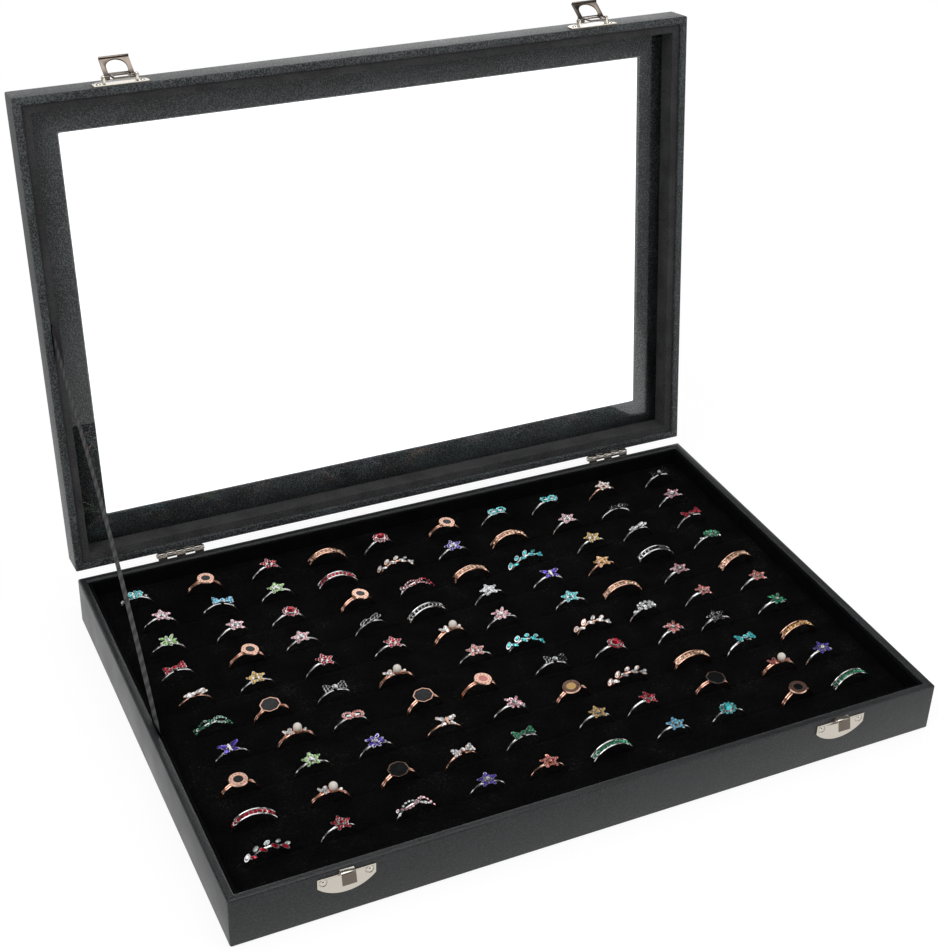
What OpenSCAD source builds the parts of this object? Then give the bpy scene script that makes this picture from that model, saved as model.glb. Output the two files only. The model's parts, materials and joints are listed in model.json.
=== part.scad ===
// Ring display box: a leatherette-covered tray with a slit velvet pad, a glazed
// hinged lid held open by a stay ribbon, and two draw latches.
// Millimetres. Origin: centre of the base's bottom face. +X right, +Y back, +Z up.
// The lid and its latches are drawn shut, then swung to the rest pose.

/* [Box] */
// Outside width, left to right
box_w = 350; // [300:5:400]
// Outside depth, front to back
box_d = 240; // [200:5:280]
// Height of the base
base_h = 26; // [24:0.5:34]
// Height of the lid
lid_h = 16; // [16:0.5:24]

/* [Walls] */
// Thickness of the wall boards
board_t = 3; // [2:0.25:4]
// Thickness of the leatherette cover
cover_t = 0.5; // [0.4:0.05:0.8]
// Thickness of the bottom board
bottom_t = 2.4; // [1.8:0.2:3]
// Width of the cover turned under the bottom board
turn_under = 12; // [8:1:20]
// Thickness of the bottom felt where it laps the turned cover
felt_lap = 0.3; // [0.2:0.05:0.5]
// Distance of the felt's edge from the outside of the box
felt_inset = 2; // [1:0.5:5]
// Depth of the cover turned over the rim and down inside
turn_in = 8; // [4:0.5:9]

/* [Liners] */
// Thickness of the base's liner strips
base_liner_t = 1.6; // [1:0.2:3]
// Drop of the base liner's top below the rim
base_liner_drop = 1.2; // [0.6:0.2:3]
// Thickness of the lid's liner battens
lid_liner_t = 4; // [2.5:0.5:6]
// Drop of the lid liner's edge below the lid's rim
lid_liner_drop = 1.5; // [0.5:0.25:3]

/* [Window] */
// Width of the border round the window
border = 21.5; // [16:0.5:30]
// Thickness of the border board
panel_t = 1.2; // [0.8:0.2:2]
// Thickness of the glass
glass_t = 1.6; // [1.2:0.2:2]
// Gap between the glass edge and the walls
glass_gap = 0.3; // [0.1:0.1:0.8]

/* [Ring pad] */
// Drop of the pad's top below the rim
pad_drop = 8; // [5:0.5:9]
// Thickness of the card under the foam
pad_board_t = 1.5; // [1:0.25:2]
// Thickness of the velvet
velvet_t = 0.5; // [0.3:0.1:0.8]
// Gap between the pad and the liners
pad_gap = 0.3; // [0.1:0.1:0.8]
// Margin from the pad's front and back edges to the first slit
row_margin = 18.7; // [14:0.1:24]
// Margin from the pad's left edge to the first ring
left_margin = 21.1; // [16:0.1:26]
// Margin from the pad's right edge to the last ring
right_margin = 24.6; // [16:0.1:32]
// Margin from the pad's side edges to the ends of the slits
slit_margin = 6; // [4:0.5:10]

/* [Rings] */
// Outside diameter of a ring
ring_d = 20; // [18:0.5:21]
// Wall of a ring's band
ring_wall = 1.4; // [1:0.1:2]
// Width of a ring's band
band_w = 2.2; // [1.6:0.1:3]
// Clearance of a band in its slit, each side
slit_gap = 0.2; // [0.1:0.05:0.4]
// Height of a ring's lowest point above the pad's board
ring_lift = 0.9; // [0.5:0.1:3.5]
// Clearance under a ring at the slit's bottom
slit_floor_gap = 0.3; // [0.1:0.1:0.8]
// How far a ring stands left or right of its place in the row
ring_nudge = 2.6; // [0:0.2:3]
// Diameter of a round head
head_d = 8.6; // [7:0.2:10]
// Diameter of a pearl
pearl_d = 5.6; // [4.6:0.2:6.6]

/* [Hinges] */
// Middle of the left hinge from the box's left end
hinge_left_in = 54; // [44:1:100]
// Middle of the right hinge from the box's right end
hinge_right_in = 46; // [44:1:100]
// Width of a hinge
hinge_w = 24; // [18:1:30]
// Height of a hinge leaf below its knuckles
leaf_h = 10.5; // [8:0.5:11]
// Thickness of a leaf
leaf_t = 0.8; // [0.6:0.1:1]
// Outside diameter of the knuckles
knuckle_d = 3.2; // [3:0.1:3.4]
// Diameter of the hinge pin
hinge_pin_d = 1.4; // [1.2:0.1:1.6]
// Distance of the hinge axis behind the back face
hinge_back = 2; // [1.9:0.1:2.4]
// Height of the hinge axis above the base's rim
hinge_up = 1; // [0.6:0.1:1.6]
// Angle from shut to the rest pose on the stay ribbon
open_angle = 97.45; // [80:0.05:105]

/* [Latches] */
// Middle of the left latch from the box's left end
latch_left_in = 50.8; // [43:0.1:100]
// Middle of the right latch from the box's right end
latch_right_in = 54.2; // [43:0.1:100]
// Width of a latch plate
plate_w = 26; // [25:0.5:30]
// Height of a latch plate at its middle
plate_h = 10.6; // [9.6:0.2:11.4]
// Height of a latch plate at its ends
plate_end_h = 4.8; // [4:0.2:6]
// Thickness of a latch plate
plate_t = 0.7; // [0.5:0.1:0.8]
// Drop of the catch plate's top edge below the base's rim
catch_drop = 2.5; // [2:0.1:3.2]
// Rise of the lid plate's straight edge above the lid's rim
lid_plate_rise = 1.5; // [1:0.1:2.4]
// Width of the catch's hook
hook_w = 6.4; // [5:0.2:6.6]
// Length of the hook's tongue
hook_drop = 7; // [4:0.5:8]
// Width of a lever
lever_w = 14; // [13.4:0.1:14.4]
// Reach of a lever from its pivot
lever_len = 12; // [11:0.5:13]
// Thickness of a lever
lever_t = 0.8; // [0.6:0.1:1]
// Angle of a lever from shut to the rest pose
lever_angle = 36; // [20:1:60]
// Width of a bail
bail_w = 9.2; // [8.8:0.1:9.4]
// Reach of a bail from its pivot
bail_len = 9.6; // [9.4:0.1:9.8]
// Thickness of a bail
bail_t = 0.7; // [0.5:0.1:0.8]
// Tilt of the hanging bail towards the lid
bail_tilt = 0; // [-1:0.5:4]

/* [Stay ribbon] */
// Width of the ribbon
ribbon_w = 10; // [6:0.5:12]
// Thickness of the ribbon
ribbon_t = 0.6; // [0.4:0.05:0.7]
// Place of the ribbon from the box's middle, front to back
ribbon_y = -6; // [-40:1:30]
// Length of each ribbon tail behind the liner
ribbon_tail = 9; // [6:0.5:10]

/* [Nails] */
// Diameter of a nail's shank
nail_d = 1.1; // [0.9:0.1:1.3]
// Length of a nail's shank
nail_len = 3; // [2.4:0.1:3.2]
// Diameter of a nail's head
nail_head_d = 2.4; // [2:0.1:2.8]
// Height of a nail's head
nail_head_h = 0.6; // [0.4:0.1:0.8]
// Clearance round a nail's shank
nail_gap = 0.05; // [0.03:0.01:0.1]

/* [Hidden] */
$fn = 48;
eps = 0.01;                                  // overrun of a cut past a face

// Heights, counted with the lid shut
top_z = base_h + lid_h;                      // outside top of the lid
panel_z = top_z - cover_t - panel_t;         // underside of the border board
glass_top = panel_z - cover_t;               // glass rests on the folded cover
glass_z = glass_top - glass_t;               // underside of the glass
floor_z = felt_lap + cover_t + bottom_t;     // top of the bottom board
base_liner_top = base_h - base_liner_drop;
lid_liner_low = base_h + lid_liner_drop;
pad_top = base_h - pad_drop;
pad_board_top = floor_z + pad_board_t;

// Plan sizes, full width and depth
wall_t = board_t + 2 * cover_t;              // a covered wall
inside_w = box_w - 2 * wall_t;
inside_d = box_d - 2 * wall_t;
board_w = box_w - 2 * cover_t;               // outside of the boards
board_d = box_d - 2 * cover_t;
turned_w = board_w - 2 * turn_under;         // bare bottom inside the turned cover
turned_d = board_d - 2 * turn_under;
bay_w = inside_w + 2 * cover_t;              // inside of the boards
bay_d = inside_d + 2 * cover_t;
pad_w = inside_w - 2 * (base_liner_t + pad_gap);
pad_d = inside_d - 2 * (base_liner_t + pad_gap);
window_w = box_w - 2 * border;
window_d = box_d - 2 * border;

// Rings: ten rows of ten, the back row first, left to right.
// "<" and ">" tell that the ring stands a little left or right of its place.
ring_rows = 10;
ring_cols = 10;
ring_z = pad_board_top + ring_lift + ring_d / 2;    // centre of every ring
slit_w = band_w + 2 * slit_gap;
slit_z = ring_z - ring_d / 2 - slit_floor_gap;
RINGS = [
    ["gem<", "disc", "flower", "band", "gem<", "disc>", "leaf", "bow<", "flower", "bow>"],
    ["flower>", "bow", "flower<", "band<", "band<", "flower<", "band<", "flower", "leaf<", "leaf"],
    ["star", "flower", "gem<", "disc", "leaf", "band<", "band<", "flower>", "leaf", "bow"],
    ["bow<", "disc", "flower<", "flower", "band<", "flower", "star", "flower", "band<", "leaf<"],
    ["leaf", "flower<", "flower<", "flower", "pearl", "gem<", "flower>", "band", "flower", "band>"],
    ["leaf>", "plaque<", "bow<", "pearl<", "bow>", "leaf<", "band>", "gem", "flower", "flower"],
    ["flower>", "pearl>", "leaf<", "plaque", "flower<", "bow>", "gem>", "star>", "flower<", "flower<"],
    ["disc", "flower>", "flower", "bow", "gem>", "disc>", "band", "band>", "bow<", "bow<"],
    ["band", "pearl>", "plaque>", "bow", "bow<", "flower>", "flower<", "plaque", "pearl>", "flower<"],
    ["leaf", "flower<", "leaf", "flower>", "gem", "band", "star", "gem<", "disc>", "band"]
];

// Hinges
hinge_left_x = hinge_left_in - box_w / 2;
hinge_right_x = box_w / 2 - hinge_right_in;
hinge_y = box_d / 2 + hinge_back;
hinge_z = base_h + hinge_up;
knuckles = 5;
knuckle_gap = 0.2;                           // between neighbouring knuckles
knuckle_w = (hinge_w - (knuckles - 1) * knuckle_gap) / knuckles;
pin_gap = 0.08;                              // running clearance round a pin, on radius
leaf_clear = 0.2;                            // between a leaf and the knuckles
leaf_off = knuckle_d / 2 + leaf_clear;       // from the axis to a leaf's edge
pin_head_d = hinge_pin_d + 0.8;
pin_head_h = 0.5;

// Latches, in the shut lid's frame; depth is measured out from the front face
latch_left_x = latch_left_in - box_w / 2;
latch_right_x = box_w / 2 - latch_right_in;
front_y = -box_d / 2;
hook_top = base_h - 0.6;                     // the hook's bend stands just below the rim
metal_gap = 0.35;                            // between latch parts that pass each other
lug_r = 0.85;                                // lever's lugs for the bail's studs
lug_gap = 0.25;                              // between a shut lug and the lid plate
bail_out = plate_t + lug_gap + lug_r;        // middle of the shut bail
hook_out = bail_out + bail_t / 2 + metal_gap;        // inner face of the hook's tongue
bar_h = 1.1;                                 // bail's bar under the hook
bail_z = hook_top - plate_t - 0.2 - bar_h + bail_len;  // bail's pivot, shut
pivot_rise = 3.2;                            // bail's pivot above the lever's
pivot_z = bail_z - pivot_rise;
pivot_out = hook_out + plate_t + 0.1;        // lever's pivot, out from the face
lever_knuckle_r = 1.1;
latch_pin_d = 1.1;
stud_d = 0.8;                                // bail's studs in the lever
lug_w = 1.4;
ear_t = 1;
ear_gap = 0.25;                              // lever to ear
ear_r = 1.2;
nail_inset = 2.7;                            // nail centre from a plate's end
nail_edge = 2.6;                             // nail centre from a plate's straight edge
lever_leg = (lever_w - bail_w) / 2 - 0.3;    // width of a lever's leg
lever_gap_w = lever_w - 2 * lever_leg;       // clear width between the legs
bail_arm = 1.1;
bail_head = 3;                               // bail's solid part below its pivot

// Stay ribbon
ribbon_x = -inside_w / 2 + ribbon_t / 2 + 0.1;
ribbon_up = 4;                               // straight stretch out of each liner
pocket_w = ribbon_w + 1;
pocket_t = ribbon_t + 0.2;

// ---------- helpers ----------

// A box centred on X and Y, from one height to another
module slab(w, d, z0, z1) {
    translate([-w / 2, -d / 2, z0]) cube([w, d, z1 - z0]);
}

// A box from its low and high corners
module block(low, high) {
    translate(low) cube(high - low);
}

// A cylinder along X, centred on x = 0
module x_rod(d, len) {
    rotate([0, 90, 0]) cylinder(d = d, h = len, center = true);
}

// Swings what is drawn shut to the lid's rest pose
module lid_pose() {
    translate([0, hinge_y, hinge_z]) rotate([-open_angle, 0, 0])
        translate([0, -hinge_y, -hinge_z]) children();
}

// Turns a part about the lever's pivot, shut frame
module about_pivot(angle) {
    translate([0, front_y - pivot_out, pivot_z]) rotate([angle, 0, 0])
        translate([0, pivot_out - front_y, -pivot_z]) children();
}

// Point of the shut lid, at rest, as [y, z]
function lid_point(y, z) = [
    hinge_y + (y - hinge_y) * cos(open_angle) + (z - hinge_z) * sin(open_angle),
    hinge_z - (y - hinge_y) * sin(open_angle) + (z - hinge_z) * cos(open_angle)
];

// ---------- base: boards, cover, liners ----------

module front_wall(z0, z1) {
    block([-board_w / 2, -board_d / 2, z0], [board_w / 2, -bay_d / 2, z1]);
}

module side_wall(z0, z1) {
    block([-board_w / 2, -bay_d / 2, z0], [-bay_w / 2, bay_d / 2, z1]);
}

module base_front_board() {
    color("#8a6b48") difference() {
        front_wall(floor_z, base_h - cover_t);
        catch_nail_set(true);
    }
}

module base_back_board() {
    color("#8a6b48") difference() {
        mirror([0, 1, 0]) front_wall(floor_z, base_h - cover_t);
        base_leaf_nail_set(true);
    }
}

module base_left_board() {
    color("#8a6b48") side_wall(floor_z, base_h - cover_t);
}

module base_right_board() {
    color("#8a6b48") mirror([1, 0, 0]) side_wall(floor_z, base_h - cover_t);
}

module base_bottom_board() {
    color("#8a6b48") slab(board_w, board_d, felt_lap + cover_t, floor_z);
}

// Leatherette: outside faces, rim, a turn inside and a turn under the bottom
module base_cover() {
    color("#2c2d2f") difference() {
        slab(box_w, box_d, felt_lap, base_h);
        slab(turned_w, turned_d, 0, floor_z);
        difference() {
            slab(board_w, board_d, felt_lap + cover_t, base_h - cover_t);
            difference() {
                slab(bay_w, bay_d, base_h - turn_in, base_h);
                slab(inside_w, inside_d, 0, base_h + 1);
            }
        }
        slab(inside_w, inside_d, floor_z - eps, base_h + 1);
        catch_nail_set(true);
        base_leaf_nail_set(true);
    }
}

// Felt that the box stands on, pressed thin where it laps the turned cover
module base_bottom_felt() {
    color("#1d1d1f") {
        slab(box_w - 2 * felt_inset, box_d - 2 * felt_inset, 0, felt_lap);
        slab(turned_w, turned_d, 0, felt_lap + cover_t);
    }
}

module long_liner(t, z0, z1) {
    block([-inside_w / 2, -inside_d / 2, z0], [inside_w / 2, -inside_d / 2 + t, z1]);
}

module side_liner(t, z0, z1) {
    block([-inside_w / 2, -inside_d / 2 + t, z0], [-inside_w / 2 + t, inside_d / 2 - t, z1]);
}

module base_liner_front() {
    color("#111112") long_liner(base_liner_t, floor_z, base_liner_top);
}

module base_liner_back() {
    color("#111112") mirror([0, 1, 0]) long_liner(base_liner_t, floor_z, base_liner_top);
}

module base_liner_left() {
    color("#111112") difference() {
        side_liner(base_liner_t, floor_z, base_liner_top);
        block([-inside_w / 2 - 1, ribbon_y - pocket_w / 2, base_liner_top - ribbon_tail - 1],
              [-inside_w / 2 + pocket_t, ribbon_y + pocket_w / 2, base_h]);
    }
}

module base_liner_right() {
    color("#111112") mirror([1, 0, 0]) side_liner(base_liner_t, floor_z, base_liner_top);
}

// ---------- ring pad ----------

function row_y(r) = pad_d / 2 - row_margin - r * (pad_d - 2 * row_margin) / (ring_rows - 1);
function col_x(c) = -pad_w / 2 + left_margin
    + c * (pad_w - left_margin - right_margin) / (ring_cols - 1);

module slits() {
    for (r = [0 : ring_rows - 1])
        translate([0, row_y(r), 0]) slab(pad_w - 2 * slit_margin, slit_w, slit_z, pad_top + 1);
}

module ring_pad_board() {
    color("#3a3a3a") slab(pad_w, pad_d, floor_z, pad_board_top);
}

module ring_pad_foam() {
    color("#222222") difference() {
        slab(pad_w - 2 * velvet_t, pad_d - 2 * velvet_t, pad_board_top, pad_top - velvet_t);
        slits();
    }
}

module ring_pad_velvet() {
    color("#0b0b0c") difference() {
        slab(pad_w, pad_d, pad_board_top, pad_top);
        slab(pad_w - 2 * velvet_t, pad_d - 2 * velvet_t, pad_board_top - 1, pad_top - velvet_t);
        slits();
    }
}

// ---------- rings ----------

ring_inner = ring_d - 2 * ring_wall;
head_sink = 0.4;                             // how far a head's stem is let into its band
head_lift = 0.1;                             // from the band's top to the head's underside
stem_d = 2;
head_h = 1.6;
petal_d = 3;
petal_r = 2.7;
arc_w = 4.2;                                 // width of a stone-set upper band
arc_h = 1;                                   // its rise above the plain band

module plain_band() {
    rotate([90, 0, 0]) difference() {
        cylinder(d = ring_d, h = band_w, center = true);
        cylinder(d = ring_inner, h = band_w + 1, center = true);
    }
}

// Wide stone-set arc over the top of the band
module wide_arc() {
    intersection() {
        rotate([90, 0, 0]) difference() {
            cylinder(d = ring_d + 2 * arc_h, h = arc_w, center = true);
            cylinder(d = ring_inner, h = arc_w + 1, center = true);
        }
        translate([-ring_d / 2, -arc_w, ring_d / 4]) cube([ring_d, 2 * arc_w, ring_d]);
    }
}

module petals(count, d, r) {
    for (i = [0 : count - 1])
        rotate([0, 0, i * 360 / count]) translate([r, 0, 0]) cylinder(d = d, h = head_h, $fn = 12);
    cylinder(r = r, h = head_h, $fn = 2 * count);
}

// A ring's head by its name, on a short stem let into the top of the band
module ring_head(kind) {
    translate([0, 0, ring_d / 2 - head_sink]) cylinder(d = stem_d, h = head_sink + head_h);
    translate([0, 0, ring_d / 2 + head_lift]) {
        if (kind == "disc") cylinder(d = head_d, h = head_h);
        if (kind == "plaque") cylinder(d = head_d + 0.6, h = head_h, $fn = 8);
        if (kind == "gem") {
            cylinder(d = petal_d, h = head_h);
            translate([0, 0, head_h / 2]) cylinder(d = head_d * 0.8, h = head_h);
        }
        if (kind == "pearl") translate([0, 0, pearl_d / 2 - head_sink]) sphere(d = pearl_d);
        if (kind == "flower") {
            petals(5, petal_d, petal_r);
            cylinder(d = petal_d * 0.8, h = head_h * 1.5);
        }
        if (kind == "star") petals(6, petal_d * 0.7, petal_r * 1.1);
        if (kind == "bow") {
            for (side = [-1, 1])
                translate([side * petal_r, 0, 0]) cylinder(d = petal_d * 1.2, h = head_h);
            cylinder(d = petal_d * 0.8, h = head_h * 1.3);
        }
        if (kind == "leaf")
            for (i = [-1 : 1])
                translate([i * petal_r * 0.9, i * petal_d * 0.2, 0])
                    cylinder(d = petal_d * 0.9, h = head_h);
    }
}

// A name without its "<" or ">" mark, and the step to the side that the mark tells
function marked(name) = name[len(name) - 1] == "<" || name[len(name) - 1] == ">";
function plain(name, n) = n == 0 ? "" : str(plain(name, n - 1), name[n - 1]);
function kind_of(name) = plain(name, len(name) - (marked(name) ? 1 : 0));
function nudge_of(name) = !marked(name) ? 0
    : (name[len(name) - 1] == "<" ? -ring_nudge : ring_nudge);

module ring(kind) {
    plain_band();
    if (kind == "band") wide_arc();
    else ring_head(kind);
}

module ring_row(r) {
    color("#c9a48c")
    for (c = [0 : ring_cols - 1])
        translate([col_x(c) + nudge_of(RINGS[r][c]), row_y(r), ring_z]) ring(kind_of(RINGS[r][c]));
}

// ---------- nails ----------

// A dome-headed nail pointing along -Z, its head on z = 0; cut = true gives its hole
module nail(cut) {
    cap_r = (nail_head_d * nail_head_d / 4 + nail_head_h * nail_head_h) / (2 * nail_head_h);
    shank = nail_d + (cut ? 2 * nail_gap : 0);
    translate([0, 0, -nail_len - (cut ? nail_gap : 0)])
        cylinder(d = shank, h = nail_len + (cut ? 1 : eps));
    if (!cut) intersection() {
        translate([0, 0, nail_head_h - cap_r]) sphere(r = cap_r);
        cylinder(d = nail_head_d, h = nail_head_h);
    }
}

// Two nails of a latch plate, heads on the plate's front
module plate_nails(z, cut) {
    for (side = [-1, 1])
        translate([side * (plate_w / 2 - nail_inset), front_y - plate_t, z])
            rotate([90, 0, 0]) nail(cut);
}

// Three nails of a hinge leaf, heads on the leaf's back
module leaf_nails(z_near, z_far, cut) {
    for (p = [[-hinge_w / 3, z_near], [0, z_far], [hinge_w / 3, z_near]])
        translate([p[0], box_d / 2 + leaf_t, p[1]]) rotate([-90, 0, 0]) nail(cut);
}

catch_top = base_h - catch_drop;
lid_plate_low = base_h + lid_plate_rise;

module at_latches() {
    for (x = [latch_left_x, latch_right_x]) translate([x, 0, 0]) children();
}

module at_hinges() {
    for (x = [hinge_left_x, hinge_right_x]) translate([x, 0, 0]) children();
}

module catch_nail_set(cut) {
    at_latches() plate_nails(catch_top - nail_edge, cut);
}

module latch_nail_set(cut) {
    at_latches() plate_nails(lid_plate_low + nail_edge, cut);
}

module base_leaf_nail_set(cut) {
    top = hinge_z - leaf_off;
    at_hinges() leaf_nails(top - leaf_h * 0.3, top - leaf_h * 0.7, cut);
}

module lid_leaf_nail_set(cut) {
    low = hinge_z + leaf_off;
    at_hinges() leaf_nails(low + leaf_h * 0.3, low + leaf_h * 0.7, cut);
}

module catch_nails() {
    color("#d9d4cb") catch_nail_set(false);
}

module hinge_base_nails() {
    color("#d9d4cb") base_leaf_nail_set(false);
}

module latch_nails() {
    color("#d9d4cb") lid_pose() latch_nail_set(false);
}

module hinge_lid_nails() {
    color("#d9d4cb") lid_pose() lid_leaf_nail_set(false);
}

// ---------- catches ----------

// Plate with one straight edge at z = 0 and a bowed edge above it
module bowed_plate() {
    rise = plate_h - plate_end_h;
    bow_r = (plate_w * plate_w / 4 + rise * rise) / (2 * rise);
    intersection() {
        translate([-plate_w / 2, front_y - plate_t, 0]) cube([plate_w, plate_t, plate_h]);
        translate([0, front_y + 1, plate_h - bow_r]) rotate([90, 0, 0])
            cylinder(r = bow_r, h = plate_t + 2, $fn = 96);
    }
}

// A hook bent out of the plate's top edge and down
module hook() {
    web_z = hook_top - plate_t;
    out = front_y - hook_out - plate_t;
    block([-hook_w / 2, front_y - plate_t, catch_top - 1], [hook_w / 2, front_y, hook_top]);
    block([-hook_w / 2, out, web_z], [hook_w / 2, front_y, hook_top]);
    block([-hook_w / 2, out, hook_top - hook_drop], [hook_w / 2, front_y - hook_out, hook_top]);
}

module catch_plate(x) {
    color("#d9d4cb") difference() {
        translate([x, 0, 0]) {
            translate([0, 0, catch_top]) mirror([0, 0, 1]) bowed_plate();
            hook();
        }
        catch_nail_set(true);
    }
}

// ---------- hinges ----------

function knuckle_x(i) = -hinge_w / 2 + knuckle_w / 2 + i * (knuckle_w + knuckle_gap);

// A leaf hanging below the axis, with every second knuckle from `first`
module leaf(first) {
    top = hinge_z - leaf_off;
    difference() {
        union() {
            block([-hinge_w / 2, box_d / 2, top - leaf_h], [hinge_w / 2, box_d / 2 + leaf_t, top]);
            for (i = [first : 2 : knuckles - 1]) translate([knuckle_x(i), 0, 0]) {
                block([-knuckle_w / 2, box_d / 2, top - eps],
                      [knuckle_w / 2, box_d / 2 + leaf_t, hinge_z]);
                translate([0, hinge_y, hinge_z]) x_rod(knuckle_d, knuckle_w);
            }
        }
        translate([0, hinge_y, hinge_z]) x_rod(hinge_pin_d + 2 * pin_gap, hinge_w + 2);
    }
}

module hinge_base_leaf(x) {
    color("#cfcac0") difference() {
        translate([x, 0, 0]) leaf(0);
        base_leaf_nail_set(true);
    }
}

module hinge_lid_leaf(x) {
    color("#cfcac0") lid_pose() difference() {
        translate([x, 0, 2 * hinge_z]) mirror([0, 0, 1]) leaf(1);
        lid_leaf_nail_set(true);
    }
}

module hinge_pin(x) {
    color("#b9b4ab") translate([x, hinge_y, hinge_z]) {
        x_rod(hinge_pin_d, hinge_w + 2 * pin_gap);
        for (side = [-1, 1])
            translate([side * (hinge_w / 2 + pin_gap + pin_head_h / 2), 0, 0])
                x_rod(pin_head_d, pin_head_h);
    }
}

// ---------- stay ribbon ----------

ribbon_low = [ribbon_y, base_liner_top - ribbon_tail];
ribbon_bend_low = [ribbon_y, base_liner_top + ribbon_up];
ribbon_bend_high = lid_point(ribbon_y, lid_liner_low - ribbon_up);
ribbon_high = lid_point(ribbon_y, lid_liner_low + ribbon_tail);

// Straight stretch of ribbon between two [y, z] points
module stretch(p, q) {
    len = norm(q - p);
    translate([0, p[0], p[1]]) rotate([atan2(q[1] - p[1], q[0] - p[0]), 0, 0])
        translate([-ribbon_t / 2, 0, -ribbon_w / 2]) cube([ribbon_t, len, ribbon_w]);
}

module stay_ribbon() {
    color("#5a5a5a") translate([ribbon_x, 0, 0]) {
        stretch(ribbon_low, ribbon_bend_low);
        stretch(ribbon_bend_low, ribbon_bend_high);
        stretch(ribbon_bend_high, ribbon_high);
        for (p = [ribbon_bend_low, ribbon_bend_high])
            translate([0, p[0], p[1]]) x_rod(ribbon_w, ribbon_t);
    }
}

// ---------- lid: boards, cover, glass, liners ----------

module lid_front_board() {
    color("#8a6b48") lid_pose() difference() {
        front_wall(base_h + cover_t, panel_z);
        latch_nail_set(true);
    }
}

module lid_back_board() {
    color("#8a6b48") lid_pose() difference() {
        mirror([0, 1, 0]) front_wall(base_h + cover_t, panel_z);
        lid_leaf_nail_set(true);
    }
}

module lid_left_board() {
    color("#8a6b48") lid_pose() side_wall(base_h + cover_t, panel_z);
}

module lid_right_board() {
    color("#8a6b48") lid_pose() mirror([1, 0, 0]) side_wall(base_h + cover_t, panel_z);
}

module lid_border_board() {
    color("#8a6b48") lid_pose() difference() {
        slab(board_w, board_d, panel_z, top_z - cover_t);
        slab(window_w + 2 * cover_t, window_d + 2 * cover_t, panel_z - 1, top_z);
    }
}

// Leatherette: outside faces, rim with a turn inside, and the border on both faces
module lid_cover() {
    color("#2c2d2f") lid_pose() difference() {
        slab(box_w, box_d, base_h, top_z);
        slab(window_w, window_d, base_h - 1, top_z + 1);
        difference() {
            slab(board_w, board_d, base_h + cover_t, panel_z);
            slab(bay_w, bay_d, glass_top, panel_z + 1);
            difference() {
                slab(bay_w, bay_d, base_h, base_h + turn_in);
                slab(inside_w, inside_d, base_h - 1, base_h + turn_in + 1);
            }
        }
        difference() {
            slab(board_w, board_d, panel_z, top_z - cover_t);
            slab(window_w + 2 * cover_t, window_d + 2 * cover_t, panel_z - 1, top_z);
        }
        slab(inside_w, inside_d, base_h - 1, glass_top);
        latch_nail_set(true);
        lid_leaf_nail_set(true);
    }
}

module lid_glass() {
    color("#cfe0e2", 0.4) lid_pose()
        slab(bay_w - 2 * glass_gap, bay_d - 2 * glass_gap, glass_z, glass_top);
}

module lid_liner_front() {
    color("#343436") lid_pose() long_liner(lid_liner_t, lid_liner_low, glass_z);
}

module lid_liner_back() {
    color("#343436") lid_pose() mirror([0, 1, 0]) long_liner(lid_liner_t, lid_liner_low, glass_z);
}

module lid_liner_left() {
    color("#343436") lid_pose() difference() {
        side_liner(lid_liner_t, lid_liner_low, glass_z);
        block([-inside_w / 2 - 1, ribbon_y - pocket_w / 2, base_h],
              [-inside_w / 2 + pocket_t, ribbon_y + pocket_w / 2, lid_liner_low + ribbon_tail + 1]);
    }
}

module lid_liner_right() {
    color("#343436") lid_pose() mirror([1, 0, 0]) side_liner(lid_liner_t, lid_liner_low, glass_z);
}

// ---------- latches ----------

ear_x = lever_w / 2 + ear_gap;               // inner face of an ear

// Bowed plate with two upright ears that carry the lever's pins
module latch_plate(x) {
    color("#d9d4cb") lid_pose() difference() {
        translate([x, 0, 0]) difference() {
            union() {
                translate([0, 0, lid_plate_low]) bowed_plate();
                for (side = [-1, 1]) translate([side * (ear_x + ear_t / 2), 0, 0]) {
                    translate([0, front_y - pivot_out, pivot_z]) x_rod(2 * ear_r, ear_t);
                    block([-ear_t / 2, front_y - pivot_out, pivot_z - ear_r],
                          [ear_t / 2, front_y - plate_t / 2, pivot_z + ear_r]);
                }
            }
            translate([0, front_y - pivot_out, pivot_z]) x_rod(latch_pin_d + 2 * pin_gap, 2 * lever_w);
        }
        latch_nail_set(true);
    }
}

// Four short pins, each through an ear and into a leg of a lever
module latch_pins() {
    inner = lever_gap_w / 2 + 0.1;
    outer = ear_x + ear_t + 0.05;
    color("#b9b4ab") lid_pose() at_latches() for (side = [-1, 1])
        translate([0, front_y - pivot_out, pivot_z]) {
            translate([side * (inner + outer) / 2, 0, 0]) x_rod(latch_pin_d, outer - inner);
            translate([side * (outer + 0.2), 0, 0]) x_rod(latch_pin_d + 0.7, 0.4);
        }
}

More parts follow.
